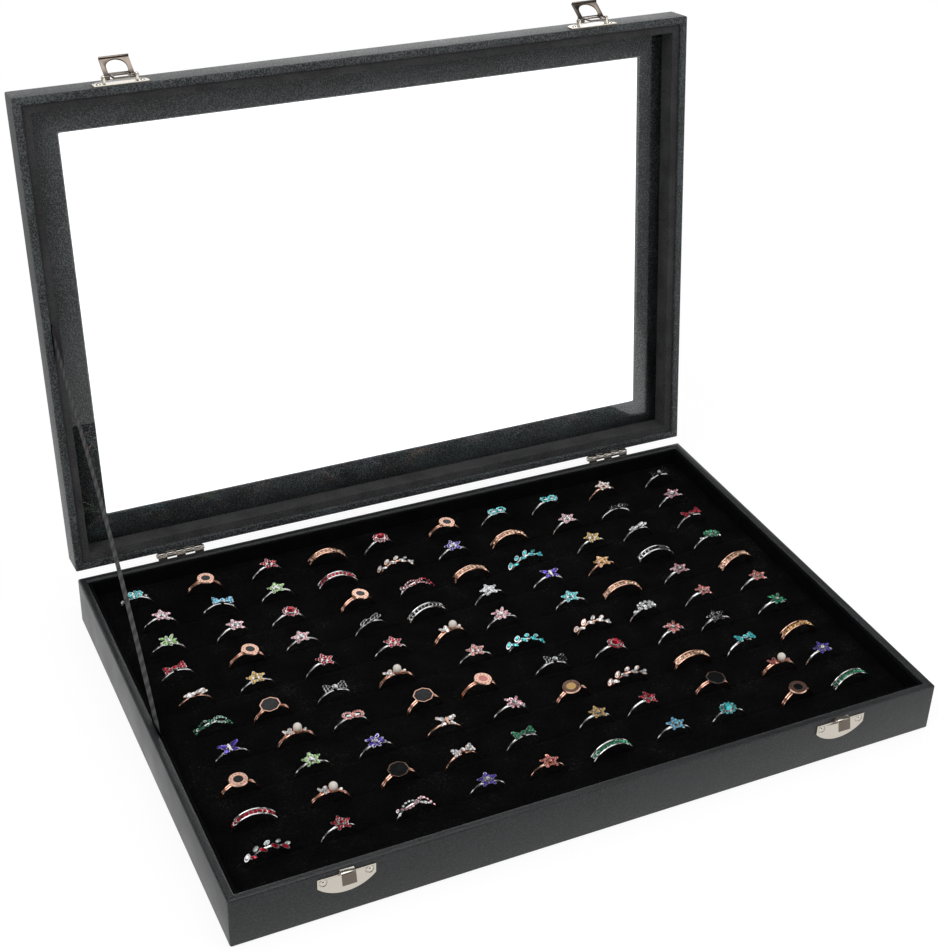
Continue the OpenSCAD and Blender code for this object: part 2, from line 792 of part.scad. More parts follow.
// Shut lever: a frame with a D window, knuckles on the pivot and lugs for the bail
module lever_shut() {
    arc_r = lever_gap_w / 2;
    arc_z = pivot_z + lever_len - 1.4 - arc_r;
    y = front_y - pivot_out;
    lug_y = front_y - bail_out;
    difference() {
        union() {
            difference() {
                block([-lever_w / 2, y - lever_t / 2, pivot_z],
                      [lever_w / 2, y + lever_t / 2, pivot_z + lever_len]);
                block([-arc_r, y - lever_t, pivot_z - 1], [arc_r, y + lever_t, arc_z]);
                translate([0, y - lever_t, arc_z]) rotate([-90, 0, 0])
                    cylinder(r = arc_r, h = 2 * lever_t);
            }
            block([-lever_w / 2, y - lever_t / 2 - 0.8, pivot_z + lever_len - 0.8],
                  [lever_w / 2, y + lever_t / 2, pivot_z + lever_len]);
            for (side = [-1, 1]) {
                translate([side * (lever_w - lever_leg) / 2, y, pivot_z])
                    x_rod(2 * lever_knuckle_r, lever_leg);
                translate([side * (arc_r + lug_w / 2), 0, 0]) {
                    translate([0, lug_y, bail_z]) x_rod(2 * lug_r, lug_w);
                    block([-lug_w / 2, y, bail_z - lug_r], [lug_w / 2, lug_y, bail_z + lug_r]);
                }
            }
        }
        translate([0, y, pivot_z]) x_rod(latch_pin_d + 2 * pin_gap, lever_w + 2);
        translate([0, lug_y, bail_z]) x_rod(stud_d + 2 * pin_gap, lever_w + 2);
    }
}

module lever(x) {
    color("#d9d4cb") lid_pose() translate([x, 0, 0]) about_pivot(lever_angle) lever_shut();
}

// Shut bail: hangs from its studs and reaches under the hook
module bail_shut() {
    y = front_y - bail_out;
    low = bail_z - bail_len;
    stud_len = lever_gap_w + 2 * lug_w - 0.2;
    translate([0, y, bail_z]) {
        x_rod(2 * bail_t, bail_w);
        x_rod(stud_d, stud_len);
    }
    difference() {
        block([-bail_w / 2, y - bail_t / 2, low], [bail_w / 2, y + bail_t / 2, bail_z]);
        block([-bail_w / 2 + bail_arm, y - bail_t, low + bar_h],
              [bail_w / 2 - bail_arm, y + bail_t, bail_z - bail_head]);
    }
}

// The bail's pivot, carried round by the lever, as [y, z] in the shut lid's frame
bail_dy = pivot_out - bail_out;
bail_rest = [
    front_y - pivot_out + bail_dy * cos(lever_angle) - pivot_rise * sin(lever_angle),
    pivot_z + bail_dy * sin(lever_angle) + pivot_rise * cos(lever_angle)
];

module bail(x) {
    color("#cbb9a8") lid_pose() translate([x, bail_rest[0], bail_rest[1]])
        rotate([bail_tilt, 0, 0]) translate([0, bail_out - front_y, -bail_z]) bail_shut();
}

base_front_board();
base_back_board();
base_left_board();
base_right_board();
base_bottom_board();
base_cover();
base_bottom_felt();
base_liner_front();
base_liner_back();
base_liner_left();
base_liner_right();
ring_pad_board();
ring_pad_foam();
ring_pad_velvet();
ring_row(0);  // ring_row_1
ring_row(1);  // ring_row_2
ring_row(2);  // ring_row_3
ring_row(3);  // ring_row_4
ring_row(4);  // ring_row_5
ring_row(5);  // ring_row_6
ring_row(6);  // ring_row_7
ring_row(7);  // ring_row_8
ring_row(8);  // ring_row_9
ring_row(9);  // ring_row_10
catch_plate(latch_left_x);  // left_catch
catch_plate(latch_right_x);  // right_catch
catch_nails();
hinge_base_leaf(hinge_left_x);  // left_hinge_base_leaf
hinge_base_leaf(hinge_right_x);  // right_hinge_base_leaf
hinge_pin(hinge_left_x);  // left_hinge_pin
hinge_pin(hinge_right_x);  // right_hinge_pin
hinge_base_nails();
stay_ribbon();
lid_front_board();
lid_back_board();
lid_left_board();
lid_right_board();
lid_border_board();
lid_cover();
lid_glass();
lid_liner_front();
lid_liner_back();
lid_liner_left();
lid_liner_right();
latch_plate(latch_left_x);  // left_latch_plate
latch_plate(latch_right_x);  // right_latch_plate
latch_nails();
latch_pins();
hinge_lid_leaf(hinge_left_x);  // left_hinge_lid_leaf
hinge_lid_leaf(hinge_right_x);  // right_hinge_lid_leaf
hinge_lid_nails();
lever(latch_left_x);  // left_lever
lever(latch_right_x);  // right_lever
bail(latch_left_x);  // left_bail
bail(latch_right_x);  // right_bail
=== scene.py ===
# %% [markdown]
# # A ring display box with a glazed lid
#
# The box is a board core wrapped in black leatherette. Its base holds a velvet
# pad with ten slits and a hundred finger rings; its lid is a shallow frame
# round a pane of glass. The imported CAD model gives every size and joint, and
# this script dresses it: each step says what the real piece is, how it could
# be made in Blender, and why it is made this way.

import json
import math
import random

import bmesh
import bpy
from mathutils import Matrix, Vector


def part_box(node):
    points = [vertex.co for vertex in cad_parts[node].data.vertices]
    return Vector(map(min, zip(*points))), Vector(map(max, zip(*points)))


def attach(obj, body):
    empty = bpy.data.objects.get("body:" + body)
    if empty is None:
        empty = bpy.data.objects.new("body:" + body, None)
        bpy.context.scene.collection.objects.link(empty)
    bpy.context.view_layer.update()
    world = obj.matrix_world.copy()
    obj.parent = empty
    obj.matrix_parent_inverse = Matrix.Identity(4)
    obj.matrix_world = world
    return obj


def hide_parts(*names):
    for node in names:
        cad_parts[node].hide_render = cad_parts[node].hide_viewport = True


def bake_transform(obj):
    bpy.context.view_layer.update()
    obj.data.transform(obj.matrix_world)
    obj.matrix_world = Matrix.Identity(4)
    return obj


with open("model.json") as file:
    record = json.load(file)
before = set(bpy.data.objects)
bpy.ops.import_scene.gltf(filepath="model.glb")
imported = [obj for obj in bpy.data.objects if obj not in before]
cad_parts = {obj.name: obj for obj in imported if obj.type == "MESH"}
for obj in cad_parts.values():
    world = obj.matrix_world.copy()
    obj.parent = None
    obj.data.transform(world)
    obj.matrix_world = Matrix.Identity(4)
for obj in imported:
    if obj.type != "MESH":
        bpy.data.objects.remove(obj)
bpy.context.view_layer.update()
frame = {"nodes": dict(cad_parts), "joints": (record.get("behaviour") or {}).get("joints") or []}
scene = bpy.context.scene
MM = 0.001

# %% [markdown]
# ## The camera
#
# A camera can be placed by eye or from measured corners. The second way keeps
# the drawing true: a place, a heading, a downward tilt and a slight roll. The
# focal length is that of a short telephoto, as used for goods on a table.

# %% Camera
CAMERA_PLACE = Vector((-312.6, -615.3, 551.3)) * MM
HEADING, TILT, ROLL = (math.radians(a) for a in (26.29, 31.64, 2.12))
LENS, SENSOR = 66.81, 36.0
SHIFT_X, SHIFT_Y = -0.0158, -0.0213


def aimed_camera(place, heading, tilt, roll):
    """A camera at a place, turned from +Y towards +X, tipped down and rolled."""
    data = bpy.data.cameras.new("camera")
    data.lens, data.sensor_width = LENS, SENSOR
    data.shift_x, data.shift_y = SHIFT_X, SHIFT_Y
    camera = bpy.data.objects.new("camera", data)
    scene.collection.objects.link(camera)
    look = Vector((math.sin(heading) * math.cos(tilt), math.cos(heading) * math.cos(tilt),
                   -math.sin(tilt)))
    turn = look.to_track_quat("-Z", "Y").to_matrix() @ Matrix.Rotation(roll, 3, "Z")
    camera.matrix_world = Matrix.Translation(place) @ turn.to_4x4()
    return camera


scene.camera = aimed_camera(CAMERA_PLACE, HEADING, TILT, ROLL)
print("camera", [round(v, 3) for v in scene.camera.location])

# %% [markdown]
# ## Small tools for materials
#
# Node trees can be clicked together or written. Written ones need a way to add
# a node with its settings and links in one line, and a way to give colours as
# the hex values that a paint chart uses. Blender's shaders work in linear
# light, so one function turns the hex values. Most finishes here end alike,
# in a colour and a relief that follow a pattern, so that is a function too.


# %% Material tools
def linear(hex_colour):
    """An sRGB hex colour as linear RGBA."""
    parts = [int(hex_colour[i:i + 2], 16) / 255 for i in (1, 3, 5)]
    return (*(p / 12.92 if p <= 0.04045 else ((p + 0.055) / 1.055) ** 2.4 for p in parts), 1.0)


def set_inputs(tree, node, inputs):
    """Fills a node's inputs: a socket, or a node's first output, is linked; a value is set."""
    for name, value in inputs.items():
        if isinstance(value, bpy.types.Node):
            value = value.outputs[0]
        if isinstance(value, bpy.types.NodeSocket):
            tree.links.new(value, node.inputs[name])
        else:
            node.inputs[name].default_value = value


def add_node(tree, kind, inputs=None, **settings):
    """Adds a shader node of a kind, with its inputs and settings."""
    node = tree.nodes.new("ShaderNode" + kind)
    for name, value in settings.items():
        setattr(node, name, value)
    set_inputs(tree, node, inputs or {})
    return node


def new_material(name, inputs):
    """A material with one Principled shader; returns the material, tree and shader."""
    material = bpy.data.materials.new(name)
    material.use_nodes = True
    tree = material.node_tree
    shader = tree.nodes["Principled BSDF"]
    set_inputs(tree, shader, inputs)
    print("material", name)
    return material, tree, shader


def per_mm(size_mm):
    """The texture scale whose features are about this many millimetres apart."""
    return 1 / (size_mm * MM)


def dress(tree, shader, tone, stops, height, strength, relief_mm):
    """Colours a shader by a tone, over (position, hex colour) stops, and embosses it by a height."""
    shades = add_node(tree, "ValToRGB", {"Fac": tone})
    elements = shades.color_ramp.elements
    while len(elements) < len(stops):
        elements.new(0.5)
    for element, (place, colour) in zip(elements, stops):
        element.position, element.color = place, linear(colour)
    relief = add_node(tree, "Bump", {"Strength": strength, "Distance": relief_mm * MM, "Height": height})
    set_inputs(tree, shader, {"Base Color": shades, "Normal": relief})


# %% [markdown]
# ## Leatherette
#
# PVC leatherette is a printed and embossed film: a fine pebble grain, a satin
# topcoat, and faint cloudy differences in gloss where hands and board press
# it. A scanned texture would do, but a Voronoi pattern gives the same closed
# pebbles at their true size of under a millimetre, and can be read in Object
# coordinates, so the grain doesn't stretch on the narrow walls. The lid's film
# has the deeper grain; the base's was pressed flatter when it was glued.

# %% Leatherette
PEBBLE_MM, CREASE_MM, CLOUD_MM = 0.75, 0.4, 22


def leatherette(name, film, pale_speckle, gloss, depth_mm, spread):
    """Embossed film: pebble grain of a given depth and spread of tones, cloudy gloss."""
    material, tree, shader = new_material(name, {"Roughness": gloss, "IOR": 1.46})
    place = add_node(tree, "TexCoord").outputs["Object"]
    cells = add_node(tree, "TexVoronoi", {"Vector": place, "Scale": per_mm(PEBBLE_MM),
                                          "Smoothness": 0.2}, feature="SMOOTH_F1")
    fine = add_node(tree, "TexNoise", {"Vector": place, "Scale": per_mm(CREASE_MM), "Detail": 3.0})
    cloud = add_node(tree, "TexNoise", {"Vector": place, "Scale": per_mm(CLOUD_MM), "Detail": 4.0})
    grain = add_node(tree, "Mix", {"Factor": 0.35, "A": cells, "B": fine})
    tone = add_node(tree, "Mix", {"Factor": 0.75, "A": cloud, "B": grain})
    rough = add_node(tree, "MapRange", {"Value": cloud, "From Min": 0.3, "From Max": 0.7,
                                        "To Min": gloss - 0.05, "To Max": gloss + 0.06})
    set_inputs(tree, shader, {"Roughness": rough})
    # The grain runs from the film's tone to a paler speckle.
    dress(tree, shader, tone, [(spread[0], film), (spread[1], pale_speckle)], grain, 1.0, depth_mm)
    return material


base_film = leatherette("base_leatherette", "#0b0c0d", "#2a2c2e", 0.34, 0.15, (0.34, 0.62))
lid_film = leatherette("lid_leatherette", "#030404", "#4e5456", 0.36, 0.5, (0.42, 0.61))

# %% [markdown]
# ## Velvet, flock and felt
#
# Velvet is a cut pile: it swallows light seen from above and only shows a dim
# sheen where the pile lies across the view. So the shader has a nearly black
# base, hardly any specular, and a little sheen. The pile's clumps of about a
# millimetre tip the normal, wider sweeps show where a hand brushed it, and
# lint catches the light here and there. The liners' flock is the same pile,
# cut shorter.

# %% Pile fabrics
SWEEP_MM = 14


def pile(name, deep, lit, clump_mm, sheen, lint=None):
    """A cut-pile cloth, nearly black, with clumps of a given size and flecks of lint."""
    material, tree, shader = new_material(
        name, {"Roughness": 0.95, "Specular IOR Level": 0.05, "Sheen Weight": sheen,
               "Sheen Roughness": 0.45, "Sheen Tint": linear(lit)})
    place = add_node(tree, "TexCoord").outputs["Object"]
    clumps = add_node(tree, "TexNoise", {"Vector": place, "Scale": per_mm(clump_mm), "Detail": 3.0})
    sweep = add_node(tree, "TexNoise", {"Vector": place, "Scale": per_mm(SWEEP_MM), "Detail": 2.0})
    both = add_node(tree, "Mix", {"Factor": 0.4, "A": clumps, "B": sweep})
    stops = [(0.35, deep), (0.6, lit), (0.68, lint or lit)]
    dress(tree, shader, both, stops, both, 0.6, 0.3)
    return material


pad_velvet = pile("pad_velvet", "#010101", "#0b0b0b", 1.2, 0.02, lint="#202020")
base_flock = pile("base_flock", "#040404", "#0c0c0c", 0.7, 0.03)
# The lid's flock is the same black pile painted much lighter: painted light on the lid's inner walls.
lid_flock_painted_lighter = pile("lid_flock_painted_lighter", "#323233", "#4a4a4b", 0.7, 0.12)
bottom_felt = pile("bottom_felt", "#121213", "#232325", 1.5, 0.1)

# %% [markdown]
# ## Nickel plate, pin steel and glass
#
# The latches and hinges are stamped from thin sheet and barrel plated with
# bright nickel: a warm white metal with faint tumbling marks. A darker, browner
# copy of the plate paints in dark reflection and shade on the levers, the
# bails, the catch's tongue and rim and the dish round each nail; the hinge
# leaves have a plate between the two, a painted reflection of the dark pad.
# Glass is clear soda-lime float glass, IOR 1.52, with a faint cold tint from
# its iron.


# %% Metals and glass
def plated(name, colour, roughness, mark_mm):
    """Bright plate over stamped sheet, with faint tumbling marks."""
    material, tree, shader = new_material(name, {"Metallic": 1.0, "Base Color": linear(colour)})
    place = add_node(tree, "TexCoord").outputs["Object"]
    marks = add_node(tree, "TexNoise", {"Vector": place, "Scale": per_mm(mark_mm), "Detail": 4.0})
    rough = add_node(tree, "MapRange", {"Value": marks, "From Min": 0.3, "From Max": 0.7,
                                        "To Min": roughness * 0.7, "To Max": roughness * 1.4})
    relief = add_node(tree, "Bump", {"Strength": 0.25, "Distance": 0.05 * MM, "Height": marks})
    set_inputs(tree, shader, {"Roughness": rough, "Normal": relief})
    return material


nickel_plate = plated("bright_nickel_plate", "#d8d1c6", 0.16, 1.4)
# A darker, browner copy of the bright plate: painted dark reflection and shade.
shade_painted_plate = plated("shade_painted_nickel_plate", "#766c64", 0.2, 1.0)
# The hinge leaves' plate is darker than the bright one: a painted reflection of the dark pad.
hinge_plate = plated("hinge_nickel_plate", "#a39e97", 0.16, 1.0)
pin_steel = plated("drawn_pin_steel", "#b8b3aa", 0.25, 0.8)
lid_glass = new_material("float_glass", {"Base Color": linear("#fdffff"), "Roughness": 0.0, "IOR": 1.52,
                                         "Transmission Weight": 1.0})[0]

# %% [markdown]
# ## Board, card and foam
#
# These lie inside and show only if the box is taken apart, but the board and
# the card get their own finish all the same: grey-brown millboard and black
# card, both pressed from fibres that show as flecks. The foam is part of the
# velvet pad, which is one piece.


# %% Inner stock
def stock(name, dark, light, fleck_mm, roughness):
    """A plain pressed stock with small flecks."""
    material, tree, shader = new_material(name, {"Roughness": roughness, "Specular IOR Level": 0.3})
    place = add_node(tree, "TexCoord").outputs["Object"]
    flecks = add_node(tree, "TexNoise", {"Vector": place, "Scale": per_mm(fleck_mm), "Detail": 5.0})
    dress(tree, shader, flecks, [(0.35, dark), (0.65, light)], flecks, 0.3, 0.1)
    return material


millboard = stock("pressed_board", "#7a6248", "#97795a", 1.5, 0.8)
black_card = stock("black_card", "#1c1c1c", "#262626", 1.0, 0.7)

# %% Finishes of the CAD nodes that stay
FINISHES = {"base_bottom_board": millboard, "lid_border_board": millboard, "ring_pad_board": black_card,
            "base_bottom_felt": bottom_felt, "lid_glass": lid_glass}
for wall in ("front", "back", "left", "right"):
    FINISHES[f"base_liner_{wall}"] = base_flock
    # The lid's liners get the flock that is painted lighter, for the light on them.
    FINISHES[f"lid_liner_{wall}"] = lid_flock_painted_lighter
    FINISHES[f"base_{wall}_board"] = FINISHES[f"lid_{wall}_board"] = millboard
for nails in ("catch_nails", "latch_nails", "hinge_base_nails", "hinge_lid_nails"):
    FINISHES[nails] = nickel_plate
for pins in ("latch_pins", "left_hinge_pin", "right_hinge_pin"):
    FINISHES[pins] = pin_steel
for node, material in FINISHES.items():
    mesh = frame["nodes"][node].data
    mesh.materials.clear()
    mesh.materials.append(material)
print(len(FINISHES), "CAD nodes finished")

# %% [markdown]
# ## Making pieces
#
# Every new piece is a bmesh that becomes an object with its place in its mesh.
# The lid's cover is drawn shut, where it is square to the axes, and then swung
# open about the hinge, by the angle that the hinge's own range gives.

# %% Piece tools
lid_joint = next(joint for joint in frame["joints"] if joint["name"] == "lid_hinge")
hinge_place = Matrix.Translation(Vector(lid_joint["pos_m"]))
shut_angle = math.radians(max(lid_joint["range_deg"]))
LID_OPEN = hinge_place @ Matrix.Rotation(-shut_angle, 4, "X") @ hinge_place.inverted()


def make_piece(name, shape, materials, body, replaces, smooth_degrees=35):
    """Turns a bmesh into an object that rides on a body."""
    mesh = bpy.data.meshes.new(name)
    shape.to_mesh(mesh)
    shape.free()
    for material in materials:
        mesh.materials.append(material)
    mesh.shade_smooth()
    mesh.set_sharp_from_angle(angle=math.radians(smooth_degrees))
    piece = bpy.data.objects.new(name, mesh)
    scene.collection.objects.link(piece)
    if body:
        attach(piece, body)
    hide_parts(*replaces)
    print(name, len(mesh.polygons), "faces")
    return piece


def turns_by(edge, degrees):
    """True where the two faces at an edge meet at more than an angle."""
    return len(edge.link_faces) == 2 and edge.calc_face_angle(0) > math.radians(degrees)


def bevel_edges(shape, edges, width, segments=3):
    """Rounds edges by a width in metres."""
    bmesh.ops.bevel(shape, geom=edges, offset=width, offset_type="OFFSET", affect="EDGES",
                    segments=segments, profile=0.5, material=-1, clamp_overlap=True)


print("lid opens by", round(math.degrees(shut_angle), 2), "degrees")

# %% [markdown]
# ## The cover of the base
#
# On the real box one sheet of leatherette is glued round the four walls,
# turned over the rim and down inside, and turned under the bottom. Folding a
# plane round the core would copy the maker's hands, but a box does as well: it
# gets its rim by an inset, its turn-in by pushing the inset down, and its
# edges a soft radius, because film over board never makes a sharp corner. The
# film is a shell, so a Solidify modifier gives it its half millimetre.

# %% Cover of the base
FILM = 0.5 * MM
WALL = 4.0 * MM
TURN_IN = 8 * MM
UNDER_LAP, LAP_RISE = 12 * MM, 0.4 * MM
BASE_ROUND, LID_ROUND = 1.0 * MM, 0.8 * MM
FOLD_ANGLE = 60
base_low, base_high = (Vector(corner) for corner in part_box("base_cover"))


def folded_shell(low, high, folds):
    """A box opened at both ends; a fold is the way it looks (1 is up), its rim and its flap."""
    shell = bmesh.new()
    matrix = Matrix.Translation((low + high) / 2) @ Matrix.Diagonal((*(high - low), 1))
    bmesh.ops.create_cube(shell, size=1, matrix=matrix)
    bmesh.ops.recalc_face_normals(shell, faces=shell.faces)
    for up, rim, flap in folds:
        face = next(f for f in shell.faces if f.normal.z * up > 0.99)
        bmesh.ops.inset_individual(shell, faces=[face], thickness=rim, use_even_offset=True)
        pushed = bmesh.ops.extrude_face_region(shell, geom=[face])["geom"]
        middle = next(g for g in pushed if isinstance(g, bmesh.types.BMFace))
        bmesh.ops.translate(shell, vec=(0, 0, -up * flap), verts=middle.verts)
        bmesh.ops.delete(shell, geom=[face, middle], context="FACES_ONLY")
    return shell


def film_piece(name, shell, film, body, node):
    """A cover whose shell gets the film's thickness on its inner side."""
    cover = make_piece(name, shell, [film], body, [node])
    thickness = cover.modifiers.new("film", "SOLIDIFY")
    thickness.thickness, thickness.offset = FILM, -1


shell = folded_shell(base_low, base_high, ((1, WALL, TURN_IN), (-1, UNDER_LAP, LAP_RISE)))
near_wall = base_high.x - WALL - BASE_ROUND
outer = [e for e in shell.edges if max(abs(v.co.x) for v in e.verts) > near_wall]
bevel_edges(shell, [e for e in outer if turns_by(e, FOLD_ANGLE)], BASE_ROUND)
film_piece("base_leatherette", shell, base_film, "base", "base_cover")

# %% [markdown]
# ## The cover of the lid
#
# The lid's film does the same, and also wraps the border round the window: it
# goes over the border board, folds through the window opening and comes back
# underneath to the walls, where the pane presses on it.

# %% Cover of the lid
LID_TOP, LID_RIM = 42 * MM, base_high.z
BORDER = 21.5 * MM
BORDER_UNDER = 39.8 * MM
MERGE = 0.05 * MM
lid_low, lid_high = Vector((*base_low.xy, LID_RIM)), Vector((*base_high.xy, LID_TOP))
shell = folded_shell(lid_low, lid_high, ((-1, WALL, TURN_IN), (1, BORDER, LID_TOP - BORDER_UNDER)))
inside_x, inside_y = base_high.x - WALL + FILM, base_high.y - WALL + FILM
at_border = Matrix.Translation((0, 0, BORDER_UNDER)) @ Matrix.Diagonal((inside_x, inside_y, 1, 1))
under = bmesh.ops.create_grid(shell, x_segments=1, y_segments=1, size=1, matrix=at_border)["verts"]
under_face = under[0].link_faces[0]
bmesh.ops.reverse_faces(shell, faces=[under_face])
bmesh.ops.inset_individual(shell, faces=[under_face], thickness=BORDER - WALL + FILM,
                           use_even_offset=True)
bmesh.ops.delete(shell, geom=[under_face], context="FACES_ONLY")
bmesh.ops.remove_doubles(shell, verts=shell.verts, dist=MERGE)
bevel_edges(shell, [e for e in shell.edges if turns_by(e, FOLD_ANGLE)], LID_ROUND)
bmesh.ops.transform(shell, matrix=LID_OPEN, verts=shell.verts)
film_piece("lid_leatherette", shell, lid_film, "lid", "lid_cover")

# %% [markdown]
# ## Stamped and plated hardware
#
# Latch plates, levers, bails and hinge leaves are blanked from sheet and
# tumbled before plating, so their edges are soft. The CAD solids have the
# right shapes with knife edges. A copy of each, merged, with its flat faces
# joined again, takes a small bevel: that is truer than modelling them anew. A
# lever or a bail is a body of its own, named as its node is.

# %% Softened copies of the metal parts
STAMPED_ROUND = 0.14 * MM
SHARP_ANGLE = 40


def merged_copy(node):
    """A copy of a CAD node's shape, with its points merged and its coplanar faces joined."""
    shape = bmesh.new()
    shape.from_mesh(frame["nodes"][node].data)
    bmesh.ops.remove_doubles(shape, verts=shape.verts, dist=0.002 * MM)
    bmesh.ops.dissolve_limit(shape, angle_limit=math.radians(1), verts=shape.verts, edges=shape.edges)
    return shape


def tumble(shape):
    """Takes the knife edges off stamped sheet."""
    bevel_edges(shape, [e for e in shape.edges if turns_by(e, SHARP_ANGLE)], STAMPED_ROUND, 2)


# Levers and bails take the darker plate: painted dark reflection and shade.
STAMPED = {"hinge_base_leaf": ("base", hinge_plate), "latch_plate": ("lid", nickel_plate),
           "hinge_lid_leaf": ("lid", hinge_plate), "lever": (None, shade_painted_plate),
           "bail": (None, shade_painted_plate)}
for part, (body, plate) in STAMPED.items():
    for side in ("left", "right"):
        node = f"{side}_{part}"
        shape = merged_copy(node)
        tumble(shape)
        make_piece(node + "_eased", shape, [plate], body or node, [node], smooth_degrees=30)

# %% [markdown]
# ## The catches
#
# A catch gets more from the press than soft edges: a raised rim round its
# plate, a cup round each nail, and a tongue bent over in a round, whose free
# end flares so that the bail finds its way under it. Insets make the rim and
# the cups, a bevel of one edge makes the bend, and the flare moves the points
# that are left below it. The tongue, the upper part of the rim and the dish of
# each cup have the darker plate: painted dark reflection and shade.

# %% Press work on a catch
PLATE_THICK = 0.7 * MM
RIM_WIDE, STEP_WIDE, STEP_DEEP = 0.6 * MM, 0.4 * MM, 0.3 * MM
DARK_FROM = 0.3 * MM
BEND_ROUND, BEND_DROP = 1.1 * MM, 1.2 * MM
SHADE_PAINTED_DEEP, TONGUE_DEEP, TONGUE_LONG = 0.5 * MM, 0.75 * MM, 5.8 * MM
FLARE_OUT, FLARE_UP = 1.1 * MM, 1.5 * MM
CUP_SIDES, CUP_HIGH = 24, 0.4 * MM
CUP_FOOT, CUP_TOP = 2.15 * MM, 2.0 * MM
CUP_LIP, DISH_SLOPE, DISH_DEEP = 0.25 * MM, 0.1 * MM, 0.26 * MM
NAIL_REACH = 10.3 * MM
HOOK_ABOVE = 24.6 * MM
TOUCH = 0.01 * MM
# The index of the darker plate, which paints in dark reflection and shade.
SHADE_PAINTED = 1


def press_rim(shape, plate_y, nail_top):
    """Presses a step round the plate, with painted dark reflection and shade from a little above the
    nails.
    """
    plate = [f for f in shape.faces
             if f.normal.y < -0.99 and abs(f.calc_center_median().y - plate_y) < TOUCH]
    bmesh.ops.inset_region(shape, faces=plate, thickness=RIM_WIDE, use_even_offset=True)
    step = bmesh.ops.inset_region(shape, faces=plate, thickness=STEP_WIDE, depth=-STEP_DEEP,
                                  use_even_offset=True)["faces"]
    for face in step:
        # The upper faces of the step get the darker plate: painted dark reflection and shade.
        face.material_index = int(face.calc_center_median().z > nail_top + DARK_FROM)


def bend_tongue(shape, front, top):
    """Rounds the bend at the tongue's top and flares its free end."""
    fold = [e for e in shape.edges
            if all(v.co.y < front + TOUCH and v.co.z > top - TOUCH for v in e.verts)]
    bevel_edges(shape, fold, BEND_ROUND, 5)
    for vert in shape.verts:
        if vert.co.y < front + TONGUE_DEEP:
            share = max(0.0, (top - BEND_DROP - vert.co.z) / TONGUE_LONG)
            vert.co.y -= FLARE_OUT * share
            vert.co.z += FLARE_UP * share


def nail_cup(shape, place):
    """A low boss with a dish in it, pressed round a nail; place has its axis along Z."""
    raised = place @ Matrix.Translation((0, 0, CUP_HIGH / 2))
    made = bmesh.ops.create_cone(shape, cap_ends=True, segments=CUP_SIDES, radius1=CUP_FOOT,
                                 radius2=CUP_TOP, depth=CUP_HIGH, matrix=raised)["verts"]
    out = place.to_3x3() @ Vector((0, 0, 1))
    top = next(f for v in made for f in v.link_faces
               if f.normal.dot(out) > 0.99 and len(f.verts) == CUP_SIDES)
    bmesh.ops.inset_individual(shape, faces=[top], thickness=CUP_LIP)
    bmesh.ops.inset_individual(shape, faces=[top], thickness=DISH_SLOPE, depth=-DISH_DEEP)
    # The dish gets the darker plate: painted shade round the nail.
    top.material_index = SHADE_PAINTED


print("nail cups are", round(2 * CUP_FOOT / MM, 1), "mm across")

# %% Catches
nails_low, nails_high = (Vector(corner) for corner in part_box("catch_nails"))
plate_y = base_low.y - PLATE_THICK
for node in ("left_catch", "right_catch"):
    shape = merged_copy(node)
    hook_x = [v.co.x for v in shape.verts if v.co.z > HOOK_ABOVE]
    middle = sum(hook_x) / len(hook_x)
    press_rim(shape, plate_y, nails_high.z)
    front, top = min(v.co.y for v in shape.verts), max(v.co.z for v in shape.verts)
    bend_tongue(shape, front, top)
    tumble(shape)
    # The tongue's front gets the darker plate: painted dark reflection on its tilted face.
    for face in shape.faces:
        if face.calc_center_median().y < front + SHADE_PAINTED_DEEP:
            face.material_index = SHADE_PAINTED
    for side in (-1, 1):
        at = (middle + side * NAIL_REACH, plate_y + CUP_HIGH, (nails_low.z + nails_high.z) / 2)
        nail_cup(shape, Matrix.Translation(at) @ Matrix.Rotation(math.radians(90), 4, "X"))
    make_piece(node + "_plated", shape, [nickel_plate, shade_painted_plate], "base", [node],
               smooth_degrees=30)

# %% [markdown]
# ## The velvet pad
#
# Foam wrapped in velvet and slit across: the slits close on the ring bands, so
# from above they are only faint lines, and the pile rises a little between
# them. A cloth simulation suits cushions that bulge; this pad is held flat by
# its card, so a grid with slit lines pressed into it is nearer the real one.

# %% Velvet pad
pad_low, pad_high = (Vector(corner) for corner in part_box("ring_pad_velvet"))
row_y = [sum(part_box(f"ring_row_{r + 1}")[side][1] for side in (0, 1)) / 2 for r in range(10)]
SLIT_END, SLIT_FADE = 6 * MM, 4 * MM
PINCH_DEEP, PINCH_WIDE = 0.35 * MM, 0.8 * MM
SWELL_HIGH, SWELL_WIDE = 0.12 * MM, 5 * MM
PAD_ROUND = 2.2 * MM
STEP_X, STEP_Y = 6 * MM, 3.2 * MM
CLOSEST = 0.2 * MM
NEAR_SLIT = (-2, -1.2, -0.6, 0, 0.6, 1.2, 2)
NEAR_EDGE = (0, 0.3, 0.9, 1.6, 2.2)


def pad_height(x, y):
    """Height of the pile: a low swell between slits, a pinched line at each slit."""
    gap = min(abs(y - line) for line in row_y)
    inside = min(1, max(0, (pad_high.x - SLIT_END - abs(x)) / SLIT_FADE))
    pinch = PINCH_DEEP * math.exp(-((gap / PINCH_WIDE) ** 2)) * inside
    swell = SWELL_HIGH * (1 - math.exp(-((gap / SWELL_WIDE) ** 2)))
    edge = min(pad_high.x - abs(x), pad_high.y - abs(y))
    rolled = PAD_ROUND * (1 - math.sqrt(max(0, 1 - (1 - min(1, edge / PAD_ROUND)) ** 2)))
    return pad_high.z - SWELL_HIGH + swell - pinch - rolled


def pad_lines(low, high, fixed, step):
    """Grid lines from low to high: evenly spaced, with extra ones where asked."""
    count = round((high - low) / step)
    lines = {round(low + (high - low) * i / count, 6) for i in range(count + 1)}
    for line in fixed:
        lines = {v for v in lines if abs(v - line) > CLOSEST} | {round(line, 6)}
    return sorted(lines)


